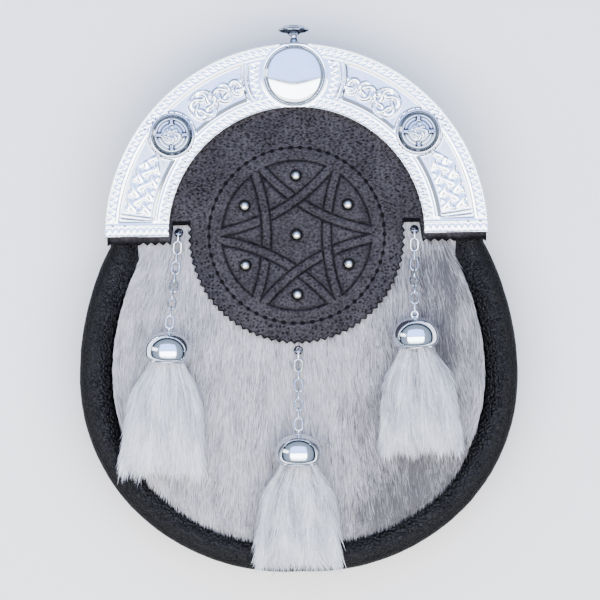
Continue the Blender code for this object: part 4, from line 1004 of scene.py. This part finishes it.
def cantleRelief(radius, angle):
    x, y = radius * np.cos(angle), radius * np.sin(angle)
    side = np.arctan2(y, np.abs(x))
    middle = cantleArc["middle"]
    outer, inner = cantleArc["outer"] - radius, radius - cantleArc["inner"]
    fromTop = np.hypot(x, y - middle)
    fromBoss = np.hypot(np.abs(x) - middle * math.cos(bossAngle), y - middle * math.sin(bossAngle))
    field = plateau(outer, 5.6, 99, 0.5) * plateau(inner, 7.4, 99, 0.5) * eased((y - 6.2) / 0.6)
    high = cantleBorders(x, y, outer, inner, radius * side) - 0.45 * field
    u, v = radius - middle - 0.4, middle * side - 10.4
    shape, braid = lowerPanel(u, v)
    high += field * shape * braid
    frameLines = np.maximum(ridge(v, -1.4, 0.4), ridge(v, -2.9, 0.4)) * (np.abs(u) < 7.2)
    high += field * 0.35 * frameLines
    # the bosses' round recess
    patinaAndShade = eased((10.7 - fromBoss) / 0.5)
    bossSeat = 0.34 * ridge(fromBoss, 10.1, 0.5) - 0.12 * eased((9.5 - fromBoss) / 0.4)
    high = high * (1 - patinaAndShade) + patinaAndShade * bossSeat
    upperPanel(x, y, high, fromBoss)
    # the seat of the cabochon with its arcs
    arcs = 0.42 * np.maximum(ridge(fromTop, 20.2, 0.5), ridge(fromTop, 22.2, 0.6))
    turnTop = np.arctan2(y - middle, x) * 18
    arcs = arcs + 0.36 * zigzag(fromTop - 17.6, turnTop, 1.1, 2.7)
    band = plateau(outer, 5.4, 99, 0.4) * plateau(inner, 5.4, 99, 0.4)
    near = eased((23.2 - fromTop) / 0.5) * band
    high = high * (1 - near) + near * arcs
    seat = eased((15.0 - fromTop) / 0.4)
    high = high * (1 - seat) + seat * 0.3 * plateau(fromTop, 12.8, 14.8, 0.7)
    edge = np.minimum(np.minimum(outer, inner), np.maximum(y, 0))
    return high - 0.55 * roundOver(edge, 0.6)


def blurred(grid, size):
    padded = np.pad(grid, size, mode="edge")
    total = np.zeros_like(grid)
    for i in range(2 * size + 1):
        for j in range(2 * size + 1):
            total += padded[i:i + grid.shape[0], j:j + grid.shape[1]]
    return total / (2 * size + 1)**2


def makeCantle():
    inner, outer, inset = cantleArc["inner"], cantleArc["outer"], cantle["edge"]
    start = cantle["start"]
    radii = np.r_[inner + inset, np.linspace(inner + start, outer - start, cantle["rings"] - 8),
                  outer - inset[::-1]]
    ends, start = inset / cantle["reach"], start / cantle["reach"]
    angles = np.r_[ends, np.linspace(start, np.pi - start, cantle["along"] - 8), np.pi - ends[::-1]]
    t, r = np.meshgrid(angles, radii)
    high = cantleRelief(r, t)
    patinaAndShade = np.clip((blurred(high, cantle["recessBlur"]) - high) / 0.32, 0, 1)
    x, y = r * np.cos(t), r * np.sin(t)
    level = cantleArc["level"]
    top = np.stack([x, y, level + cantleArc["plate"] + high], -1).reshape(-1, 3)
    rows, columns = high.shape
    low = [np.stack([x[k], y[k], np.full(columns, level)], -1) for k in (0, -1)]
    points = np.concatenate([top, *low])
    here, ahead = np.arange(columns - 1), np.arange(1, columns)
    last = (rows - 1) * columns
    foot, rim = rows * columns, (rows + 1) * columns
    tables = [gridFaces(rows, columns)[:, ::-1],
              np.stack([here, ahead, ahead + foot, here + foot], 1)[:, ::-1],
              np.stack([ahead + last, here + last, here + rim, ahead + rim], 1)[:, ::-1],
              np.stack([here + foot, ahead + foot, ahead + rim, here + rim], 1)[:, ::-1]]
    column = np.arange(rows) * columns
    tables.append(np.r_[column, rim, foot][None])
    tables.append(np.r_[column + columns - 1, rim + columns - 1, foot + columns - 1][::-1][None])
    layer = np.r_[patinaAndShade.reshape(-1), np.full(2 * columns, 0.2)]
    addPiece("cantleCasting", (points, tables), "cast", ["cantle"], {"patinaAndShade": layer}, 60)


makeCantle()

boss = {"radius": 8.9, "rise": 3.6, "level": 39.4, "around": 128, "rings": 52}
bossRows = ((0.0, 1.0), (0.22, 1.00), (0.48, 0.90), (0.55, 0.46), (0.68, 0.42), (0.77, 0.70),
            (0.90, 0.50), (1.00, 0.24))


def bossRelief(x, y):
    share = np.hypot(x, y) / boss["radius"]
    keys, values = np.array(bossRows).T
    high = np.interp(share, keys, values)
    smooth = (np.interp(np.clip(share - 0.03, 0, 1), keys, values) + high
              + np.interp(np.clip(share + 0.03, 0, 1), keys, values)) / 3
    bars = np.minimum(np.abs(x), np.abs(y)) / boss["radius"]
    bridge = eased((0.115 - bars) / 0.04) * plateau(share, 0.46, 0.80, 0.05)
    high = np.maximum(smooth, bridge * 0.78)
    made = knot(x, y, 2.6, 1.05, 4, 1, 0.62, 0.4)
    made = np.maximum(made, knot(x, y, 2.2, 0.9, 4, 1, 0.55, 3.5) * 0.9)
    centre = eased((0.50 - share) / 0.06)
    return boss["rise"] * (high - 0.10 * centre) + 0.36 * made * centre


def makeBoss(name, side, node):
    n = boss["around"]
    reach = np.linspace(1, 0, boss["rings"] + 1)[:-1] * boss["radius"]
    a, r = np.meshgrid(turnsOf(n), reach)
    x, y = r * np.cos(a), r * np.sin(a)
    high = bossRelief(x, y)
    patinaAndShade = np.clip((blurred(high, 3) - high) / 0.5, 0, 1)
    cx = side * cantleArc["middle"] * math.cos(bossAngle)
    cy = cantleArc["middle"] * math.sin(bossAngle)
    top = np.stack([x + cx, y + cy, boss["level"] + high], -1).reshape(-1, 3)
    low = np.stack([x[0] + cx, y[0] + cy, np.full(n, boss["level"])], -1)
    tip = float(bossRelief(np.zeros(1), np.zeros(1))[0])
    points = np.concatenate([top, low, [[cx, cy, boss["level"] + tip], [cx, cy, boss["level"]]]])
    here, ahead = ringOf(n)
    last = (boss["rings"] - 1) * n
    foot = boss["rings"] * n
    tables = [gridFaces(boss["rings"], n, True),
              fan(here + last, ahead + last, foot + n),
              np.stack([here + foot, ahead + foot, ahead, here], 1),
              fan(ahead + foot, here + foot, foot + n + 1)]
    layer = np.r_[patinaAndShade.reshape(-1), np.zeros(n + 2)]
    addPiece(name, (points, tables), "boss", [node], {"patinaAndShade": layer}, 50)


makeBoss("bossLeft", -1, "boss_left")
makeBoss("bossRight", 1, "boss_right")

cabochon = {"radius": 12.6, "rise": 3.4, "level": 39.4}
knob = {"start": 83.5, "axis": 37.5, "facets": 16, "sides": 96, "flare": 5.2, "facetDepth": 2.2}
knobRows = ((2.6, 0.0), (2.21, 1.1), (1.81, 2.37), (2.41, 3.6), (5.5, 4.55), (6.55, 5.2), (6.7, 5.6),
            (6.5, 6.0), (5.9, 6.5), (5.2, 6.7), (4.9, 7.1), (3.4, 7.6), (1.2, 7.86))


def makeCabochon():
    bend = np.linspace(0, 1, 34)[1:-1] * np.pi / 2
    radius, rise = cabochon["radius"], cabochon["rise"]
    rows = [(radius - 0.12, 0.0), (radius, 0.15), (radius, 0.33 * rise)]
    rows += [(radius * math.cos(b)**0.8, rise * (0.35 + 0.65 * math.sin(b))) for b in bend]
    shell = turned(rows, 112, 0.0, rise)
    place = Matrix.Translation((0, cantleArc["middle"], cabochon["level"]))
    addPiece("cabochonDome", moved(shell, place), "polished", ["cabochon"], None, 50)


def makeKnob():
    rows = throughRows(knobRows, 60)
    sides = knob["sides"]
    half = np.pi / knob["facets"]
    facet = np.cos(half) / np.cos(turnsOf(sides) % (2 * half) - half)
    points, tables = turned(rows, sides, rows[0][1], rows[-1][1])
    share = np.repeat(np.clip(rows[:, 0] - knob["flare"], 0, 1), sides)
    scale = 1 + (np.tile(facet, len(rows)) - 1) * share * knob["facetDepth"]
    points[:len(share), :2] *= scale[:, None]
    place = Matrix.Translation((0, knob["start"], knob["axis"])) @ Matrix.Rotation(-math.pi / 2, 4, "X")
    rise, reach = points[:, 2], np.hypot(*points.T[:2])
    # painted shade under the knob's head; the rest of the head is evenly a little darker, and the neck is
    # lighter but darker towards its foot
    under = eased((5.5 - rise) / 0.4) * eased((reach - 2.6) / 1.8)
    layer = 1.1 * under + 0.35 * eased((rise - 3.0) / 1.0) * (1 - under)
    layer = np.where(rise < 3.3, 0.15 + 0.15 * eased((1.9 - rise) / 0.8), layer)
    shell = moved((points, tables), place)
    addPiece("knobFinial", shell, "knob", ["knob"], {"patinaAndShade": layer}, 30)


makeCabochon()
makeKnob()


def tiltedPlace(x, y, height, reach):
    slopeX = (height(x + reach, y) - height(x - reach, y)) / (2 * reach)
    slopeY = (height(x, y + reach) - height(x, y - reach)) / (2 * reach)
    normal = Vector((-float(slopeX), -float(slopeY), 1)).normalized()
    turn = Vector((0, 0, 1)).rotation_difference(normal).to_matrix().to_4x4()
    return Matrix.Translation(Vector((x, y, float(height(x, y)))) + normal * pouch["gap"]) @ turn


def makeStuds():
    bend = np.linspace(0, 1, 12)[1:-1] * np.pi / 2
    radius, rise, foot = stud["radius"], stud["rise"], stud["foot"]
    rows = [(radius, foot), (radius, 0.2 * rise)]
    rows += [(radius * math.cos(b), rise * (0.2 + 0.8 * math.sin(b))) for b in bend]
    shell = turned(rows, 48, foot, rise)
    away = np.hypot(*shell[0].T[:2]) / radius  # painted highlight at the top and painted shade round the foot
    patinaAndShade = np.interp(away, (0.0, 0.22, 0.42, 0.72, 1.0), (0.0, 0.0, 0.42, 0.55, 1.3))
    for number, (x, y) in enumerate(studPlaces, 1):
        place = tiltedPlace(x, y, yokeTop, radius)
        addPiece(f"stud{number}", moved(shell, place), "nickel", [f"stud_{number}"],
                 {"patinaAndShade": patinaAndShade})


makeStuds()

print("chains and tassels")

chain = {"length": 6.4, "width": 4.1, "wire": 0.85, "washer": 2.0, "washerHeight": 0.7, "eye": 1.35,
         "climb": 6, "sideAnchor": 51.1}
dome = {"radius": 10.1, "height": 13.4, "wall": 0.8, "sides": 96, "eyeSteps": 28}
domeRows = ((0.78, 0.00), (0.95, 0.13), (1.00, 0.33), (0.93, 0.60), (0.70, 0.83), (0.32, 0.97))
tasselRows = (
    {"name": "left", "side": -1, "lean": -6.0, "links": 10, "skirtLean": -3.9, "long": 1.02, "spread": 0.96},
    {"name": "middle", "side": 0, "lean": -0.6, "links": 8, "skirtLean": -1.2, "long": 0.94, "spread": 1.0},
    {"name": "right", "side": 1, "lean": -1.4, "links": 9, "skirtLean": 2.0, "long": 0.96, "spread": 0.94},
)
pitch = chain["length"] - 2 * chain["wire"] - pouch["gap"]


def restHeight(x, y):
    angle, reach = pouchTurn(x, y)
    over = reach > outlineReach(angle) - pouch["roll"] - fur["locks"]
    return np.where(over, np.maximum(furTop(x, y), pouch["depth"]), furTop(x, y))


def anchorPlace(row):
    if row["side"] == 0:
        return Vector((0.0, -yoke["lobe"] - chain["washer"] - 0.6))
    return Vector((row["side"] * chain["sideAnchor"], yoke["notchTop"] - chain["washer"] - 1.2))


def clearHeight(place, radius):
    turn = turnsOf(12)
    x = np.r_[place[0] + radius * np.cos(turn), place[0]]
    y = np.r_[place[1] + radius * np.sin(turn), place[1]]
    return float(restHeight(x, y).max()) + pouch["gap"]


def chainJoints(row):
    lean = math.radians(row["lean"])
    heading = Vector((math.sin(lean), -math.cos(lean)))
    here = anchorPlace(row)
    count = row["links"]
    domePlace = here + heading * (count * pitch + dome["height"] / 2)
    goal = clearHeight(domePlace, dome["radius"]) + dome["radius"]
    washerTop = clearHeight(here, chain["washer"]) + chain["washerHeight"]
    lying = pouch["gap"] + chain["width"] / 2
    joints = [Vector((here.x, here.y, washerTop + lying))]
    for k in range(1, count + 1):
        share = float(eased((k - count + chain["climb"]) / chain["climb"]))
        step = pitch
        for _ in range(4):
            ahead = here + heading * step
            low = lying + (washerTop if k == 1 else float(furTop(ahead.x, ahead.y)))
            height = low + (goal - low) * share
            step = math.sqrt(max(pitch**2 - (height - joints[-1].z)**2, 0.0))
        here = here + heading * step
        joints.append(Vector((here.x, here.y, height)))
    return joints


def linkShell():
    bend = (chain["width"] - chain["wire"]) / 2
    half = (chain["length"] - chain["wire"]) / 2 - bend
    path = []
    for end in (1, -1):
        for turn in np.linspace(-90, 90, 11):
            a = math.radians(turn)
            path.append((end * (half + bend * math.cos(a)), end * bend * math.sin(a), 0))
    return tube(path, chain["wire"] / 2, 12, closed=True)


def makeChain(row, joints):
    links = []
    for k in range(row["links"]):
        along = (joints[k + 1] - joints[k]).normalized()
        across = along.cross(Vector((0, 0, 1))).normalized()
        upright = across.cross(along)
        wide = across if k % 2 else upright
        turn = Matrix((along, wide, along.cross(wide))).transposed().to_4x4()
        links.append(moved(linkShell(), Matrix.Translation((joints[k] + joints[k + 1]) / 2) @ turn))
    nodes = [f"link_{row['name']}_{k + 1}" for k in range(row["links"])]
    addPiece(f"chain{row['name'].title()}", joined(links), "chain", nodes)


def makeAnchor(row, joints):
    along = (joints[1] - joints[0]).normalized()
    heading = Vector((along.x, along.y, 0)).normalized()
    x, y = anchorPlace(row)
    foot = clearHeight((x, y), chain["washer"])
    shift = (chain["wire"] + pouch["gap"]) / 2
    rise = joints[0].z - foot
    spread = 1.9 * chain["wire"]
    turn = np.linspace(0, np.pi, 17)
    arch = np.stack([spread * np.cos(turn), np.full(17, shift), rise - spread + spread * np.sin(turn)], 1)
    path = np.concatenate([[(spread, shift, 0.3)], arch, [(-spread, shift, 0.3)]])
    wire = tube(path, chain["wire"] / 2, 12, up=(0, 1, 0))
    w, h = chain["washer"], chain["washerHeight"]
    washer = turned([(w - 0.1, 0.0), (w, 0.1), (w, 0.6 * h), (0.93 * w, 0.88 * h), (0.85 * w, h),
                     (0.76 * w, 0.9 * h), (0.70 * w, 0.5 * h), (0.62 * w, 0.3 * h)], 40, 0.0, 0.3 * h)
    turnTo = Vector((0, 1, 0)).rotation_difference(heading).to_matrix().to_4x4()
    eye = eased(np.hypot(*washer[0].T[:2]) / w / 0.5)  # a bright rivet in an eyelet ring painted near-black as shade
    patinaAndShade = np.r_[2.0 * eye, np.zeros(len(wire[0]))]
    shell = moved(joined([washer, wire]), Matrix.Translation((x, y, foot)) @ turnTo)
    addPiece(f"anchor{row['name'].title()}", shell, "boss",
             [f"chain_anchor_{row['name']}"], {"patinaAndShade": patinaAndShade})


def domeFrame(row, joints):
    lean = math.radians(row["skirtLean"])
    down = Vector((math.sin(lean), -math.cos(lean), 0))
    eye = joints[-1] + down * (chain["eye"] - (chain["wire"] + pouch["gap"]) / 2)
    top = eye + down * (chain["eye"] - 0.3 * chain["wire"])
    rim = top + down * dome["height"]
    across = Vector((-down.y, down.x, 0))
    turn = Matrix((across, Vector((0, 0, -1)), -down)).transposed().to_4x4()
    return Matrix.Translation(rim) @ turn, eye


def makeDome(row, place, eye):
    radius, height, wall = dome["radius"], dome["height"], dome["wall"]
    smooth = throughRows([(r * radius, h * height) for r, h in domeRows] + [(0.02, height)], 40)
    smooth = np.maximum(smooth, 0.02)
    edge = smooth[0][0]
    lip = [(edge - wall, 0.1), (edge - 0.6 * wall, -0.15), (edge + 0.15, -0.2), (edge + 0.45, 0.1),
           (edge + 0.35, 0.6)]
    inner = [(max(r - wall, 0.02), h * (1 - wall / height)) for r, h in smooth[::-3]]
    shell = turned(inner + lip + [tuple(p) for p in smooth[2:]], dome["sides"], height - wall, height)
    local = place.inverted() @ eye
    turn = turnsOf(dome["eyeSteps"])
    flat = (row["links"] - 1) % 2 == 1
    side, along = chain["eye"] * np.cos(turn), chain["eye"] * np.sin(turn)
    zero = np.zeros(len(turn))
    path = np.stack([zero, side, along] if flat else [side, zero, along], 1) + np.array(local)
    ring = tube(path, chain["wire"] / 2, 12, closed=True, up=(1, 0, 0) if flat else (0, 1, 0))
    addPiece(f"bell{row['name'].title()}", moved(joined([shell, ring]), place), "polished",
             [f"dome_{row['name']}"])


tassel = {"width": 34.0, "thickness": 15.0, "length": 49.5, "strands": 1700, "short": 8600,
          "hair": (0.15, 0.32), "around": 96, "rings": 40}
skirtRows = ((0.0, 0.44, 0.90), (0.10, 0.60, 0.94), (0.28, 0.84, 1.0), (0.55, 0.95, 0.88), (0.82, 1.0, 0.66),
             (1.0, 1.02, 0.40))


def skirtAt(row, place, share, u, w):
    # a point of the tassel: share of its length, u across -1..1, w through its thickness -1..1
    length = tassel["length"] * row["long"]
    share = np.asarray(share, float)
    at = np.clip(share, 0, 1)
    wide = tableAt([(a, b) for a, b, _ in skirtRows], at) * tassel["width"] / 2 * row["spread"]
    thick = tableAt([(a, c) for a, _, c in skirtRows], at) * tassel["thickness"] / 2
    matrix = np.array(place)
    down, across = -matrix[:3, 2], matrix[:3, 0]
    start = matrix[:3, 3]
    axis = start + down * (share * length)[..., None]
    base = axis + across * (u * wide)[..., None]
    x, y = axis[..., 0], axis[..., 1]
    ground = np.maximum(restHeight(x, y), restHeight(x + across[0] * wide, y))
    ground = np.maximum(ground, restHeight(x - across[0] * wide, y))
    lying = ground + pouch["gap"] + thick
    hung = start[2]
    centreZ = hung + (lying - hung) * eased(share / 0.18)
    base[..., 2] = centreZ + w * thick
    return base


def tasselHairs(rng, row, place, count, steps, starts, lengths, lift):
    angle = rng.uniform(-np.pi, np.pi, count)
    angle = np.where(rng.uniform(size=count) < 0.6, np.abs(angle), angle)
    depth = np.sqrt(rng.uniform(0.35, 1.0, count)) if lift == 0 else rng.uniform(0.90, 1.0, count)
    start = rng.uniform(*starts, count)
    tuft = np.round(angle / 0.24 + 0.3 * np.sin(9 * angle)) * 0.24
    tuftTone = np.sin(17.3 * tuft + row["side"])
    ends = start + rng.uniform(*lengths, count)
    furthest = 0.90 + 0.05 * np.sin(7 * tuft + row["side"])
    ends = np.minimum(ends, furthest + np.abs(rng.normal(0, 0.07, count)))
    local = np.linspace(0, 1, steps)[None]
    share = start[:, None] + (ends - start)[:, None] * local
    gather = eased((share - 0.4) / 0.6) * 0.35
    turning = angle[:, None] * (1 - gather) + (tuft + rng.normal(0, 0.08, count))[:, None] * gather
    turning = turning + rng.normal(0, 0.13, count)[:, None] * local * (0.3 + share)
    beside = np.cos(turning)**4  # hairs at the two sides stand off more
    outward = rng.uniform(0.2, 1.0, count)[:, None] * lift * (1 + 0.9 * beside) * local**1.5
    loose = rng.normal(0, 0.045, count)[:, None] * eased((share - 0.3) / 0.7)
    grow = depth[:, None] * (1.0 + 0.03 * tuftTone[:, None] * eased(share / 0.3) + loose + outward)
    paths = skirtAt(row, place, np.maximum(share, 0.0), np.cos(turning) * grow, np.sin(turning) * grow)
    back = np.array(place)[:3, 2]
    paths = paths + back * (np.maximum(-share, 0) * tassel["length"])[..., None]
    along = paths[:, -1] - paths[:, 0]
    side = unit(np.cross(along, (0.0, 0.0, 1.0)))
    side[:, 2] += rng.normal(0, 0.35, count)
    widths = rng.uniform(*tassel["hair"], count) / 2
    points, tables, each = ribbons(paths, widths, unit(side))
    broad = 0.10 * np.sin(5.0 * angle + 9.0 * start + 2 * row["side"])
    tone = 0.57 - 0.04 * row["side"] + rng.normal(0, 0.16, count) + 0.09 * tuftTone + broad
    tone = tone - 0.28 * (rng.uniform(size=count) < 0.06)
    alongTone = np.repeat(share, 2, 1)[:, :each]
    ramp = 0.20 * eased((alongTone - 0.45) / 0.5) - 0.10 * (1 - eased(alongTone / 0.15))
    return (points, tables), (tone[:, None] + ramp).reshape(-1)


def makeTassel(row, place):
    rng = np.random.default_rng(70 + row["side"])
    around, rings = tassel["around"], tassel["rings"]
    turn = turnsOf(around)
    rows = []
    for share in np.linspace(-0.06, 0.90, rings):
        fold = 0.5 + 0.5 * np.cos(11 * turn + 1.3 * math.sin(9 * share))
        groove = 1 - (0.05 + 0.10 * max(share, 0)) * fold
        grow = 0.92 * groove
        ring = skirtAt(row, place, np.full(around, max(share, 0.0)), np.cos(turn) * grow, np.sin(turn) * grow)
        if share < 0:
            ring = ring + np.array(place)[:3, 2] * (-share) * tassel["length"]
        rows.append(ring)
    points = np.concatenate(rows + [[rows[0].mean(0)], [rows[-1].mean(0)]])
    tables = cappedFaces(rings, around)
    middle = points.mean(0)
    a, b, c = points[tables[0][:, 0]], points[tables[0][:, 1]], points[tables[0][:, 2]]
    if (np.cross(b - a, c - a) * (a - middle)).sum() < 0:
        tables = [t[:, ::-1] for t in tables]
    # painted shade: the core under the strands is darker, standing for the shade deep in the hair
    tone = 0.30 + 0.10 * softNoise(points[:, 0] * 3, points[:, 1] * 0.3, 1.5, 71)
    addPiece(f"tassel{row['name'].title()}", (points, tables), "tassel",
             [f"tassel_{row['name']}"], {"tone": tone})
    strands, strandTone = tasselHairs(rng, row, place, tassel["strands"], 8, (-0.03, 0.05), (0.78, 1.02), 0.0)
    short, shortTone = tasselHairs(rng, row, place, tassel["short"], 5, (-0.02, 0.80), (0.20, 0.36), 0.09)
    addPiece(f"tasselHairs{row['name'].title()}", joined([strands, short]), "tassel", (),
             {"tone": np.concatenate([strandTone, shortTone])})


for row in tasselRows:
    joints = chainJoints(row)
    place, eye = domeFrame(row, joints)
    makeAnchor(row, joints)
    makeChain(row, joints)
    makeDome(row, place, eye)
    makeTassel(row, place)

print("back")

back = {"spread": 38.0, "width": 15.0, "length": 46.0, "middle": 2.0, "slot": 4.5, "end": 7.0, "thick": 1.8,
        "seam": 3.6, "pitch": 3.6, "stitch": 2.5, "steps": 120}


def backOutline():
    angles = np.linspace(-mouth, mouth, 260)
    low = np.stack(pouchPoint(angles, seamReach(angles) - pouch["gap"]), 1)
    corner = np.array(pouchPoint(mouth + 0.6 / pouch["arch"], float(outlineReach(mouth)) - pouch["roll"]))
    edge = mouthTurn + 1.2 / pouch["backArch"]
    turn = np.linspace(edge, math.pi - edge, 160)
    over = arcPoints(turn, pouch["backArch"])
    return np.concatenate([low, [corner], over, [corner * (-1, 1)]])


def makeBack():
    outline = backOutline()
    closed = closedLine(outline)
    level = pouch["back"]

    def lower(x, y):
        away = fromLine(np.stack([x, y], 1), closed)
        crease = ridge(away, back["seam"], 0.7)
        return level + 0.45 * roundOver(away, 0.8) + 0.28 * crease + 0.07 * softShare(x, y, 4.0, 81)

    upper = hexPoints(outline, 12.0)
    near = hexPoints(outline, 1.1, lambda p: fromLine(p, closed) < 6.5)
    far = hexPoints(outline, 3.2, lambda p: fromLine(p, closed) >= 7.5)
    points, tables, count = sheetShell(outline, lambda x, y: np.full_like(x, level + pouch["backThick"]),
                                       lower, upper, np.concatenate([near, far]))
    away = fromLine(points[:, :2], closed)
    below = np.arange(len(points)) >= count
    cutAndShade = np.where(below, ridge(away, back["seam"], 0.7) * 0.7, 0.0)
    addPiece("backPanel", (points, tables), "back", ["back_panel"],
             {"cutAndShade": cutAndShade, "wearAndHighlight": np.zeros(len(points))}, 50)
    stitches = []
    inward = np.array([0, -20]) - outline
    inset = outline + inward * (back["seam"] / np.linalg.norm(inward, axis=1))[:, None]
    loop = closedLine(inset)
    reach = runAlong(loop)
    for at in np.arange(0, reach[-1] - 2, back["pitch"]):
        run = np.linspace(at, at + back["stitch"], 5)
        x, y = np.interp(run, reach, loop[:, 0]), np.interp(run, reach, loop[:, 1])
        z = level + 0.18 - np.array([-0.4, 0.05, 0.18, 0.05, -0.4])
        stitches.append(tube(np.stack([x, y, z], 1), 0.34, 6))
    addPiece("backStitches", joined(stitches), "greyThread")


def makeLoopStitches(name, x0, half, level):  # a crossed box of stitches at each end of a loop
    left, right = x0 + 2.2, x0 + back["width"] - 2.2
    z = level - np.array([-0.45, 0.05, 0.16, 0.05, -0.45])
    stitches = []
    for end in (-1, 1):
        y0, y1 = end * (half - 1.6), end * (half - 5.6)
        for (ax, ay), (bx, by) in (((left, y0), (right, y0)), ((left, y1), (right, y1)),
                                   ((left, y0), (right, y1)), ((right, y0), (left, y1))):
            length = math.hypot(bx - ax, by - ay)
            for at in np.arange(0.2, length - 1.2, 2.4):
                run = np.linspace(at, at + 1.6, 5) / length
                x, y = ax + (bx - ax) * run, back["middle"] + ay + (by - ay) * run
                stitches.append(tube(np.stack([x, y, z], 1), 0.28, 6))
    addPiece(name, joined(stitches), "greyThread")


def makeLoop(name, side, node):
    flat = pouch["back"] - pouch["gap"]
    steps = back["steps"]
    half, sewn, thick = back["length"] / 2, back["length"] / 2 - back["end"], back["thick"]
    bend = back["slot"] * 0.9
    across = np.linspace(-half, half, steps)
    lift = eased((sewn + 0.5 - np.abs(across)) / (bend + 0.8))
    upper = flat - back["slot"] * lift
    near = np.array([0, 0.12, 0.4, 0.8, 1.6, 3.0])
    edge = np.r_[near, back["width"] / 2, back["width"] - near[::-1]]
    away = np.minimum(edge, back["width"] - edge)
    rounded = 0.5 * roundOver(away, 0.8)
    groove = 0.22 * ridge(away, 2.4, 0.6)
    wide = len(edge)
    columns = []
    x0 = side * back["spread"] - back["width"] / 2
    for k, y in enumerate(across):
        endRound = 0.5 * roundOver(half - abs(y), 0.8)
        low = upper[k] - thick + np.maximum(rounded, endRound) + groove
        low = np.maximum(low, 0.4)
        front = np.stack([x0 + edge, np.full(wide, back["middle"] + y), low], 1)
        rear = np.stack([x0 + edge[::-1], np.full(wide, back["middle"] + y), np.full(wide, upper[k])], 1)
        columns.append(np.concatenate([front, rear]))
    points = np.concatenate(columns)
    n = 2 * wide
    i = np.arange(wide - 1)
    cap = np.stack([i, i + 1, n - 2 - i, n - 1 - i], 1)
    tables = [gridFaces(steps, n, True), cap, (cap + (steps - 1) * n)[:, ::-1]]
    cutAndShade = np.tile(np.r_[groove / 0.22 * 0.6, np.zeros(wide)], steps)
    layers = {"cutAndShade": cutAndShade, "wearAndHighlight": np.zeros(len(points))}
    addPiece(name, (points, tables), "back", [node], layers, 50)
    makeLoopStitches(name + "Stitches", x0, half, flat - thick + 0.10)


makeBack()
makeLoop("beltLoopLeft", -1, "belt_loop_left")
makeLoop("beltLoopRight", 1, "belt_loop_right")

print("floor")

floor = {"size": 6.0}


def makeFloor():
    half = floor["size"] / 2
    corners = [(-half, -half, 0), (half, -half, 0), (half, half, 0), (-half, half, 0)]
    mesh = bpy.data.meshes.new("floor")
    mesh.from_pydata(corners, [], [(0, 1, 2, 3)])
    mesh.materials.append(paints["floor"])
    inScene("floor", mesh)


makeFloor()
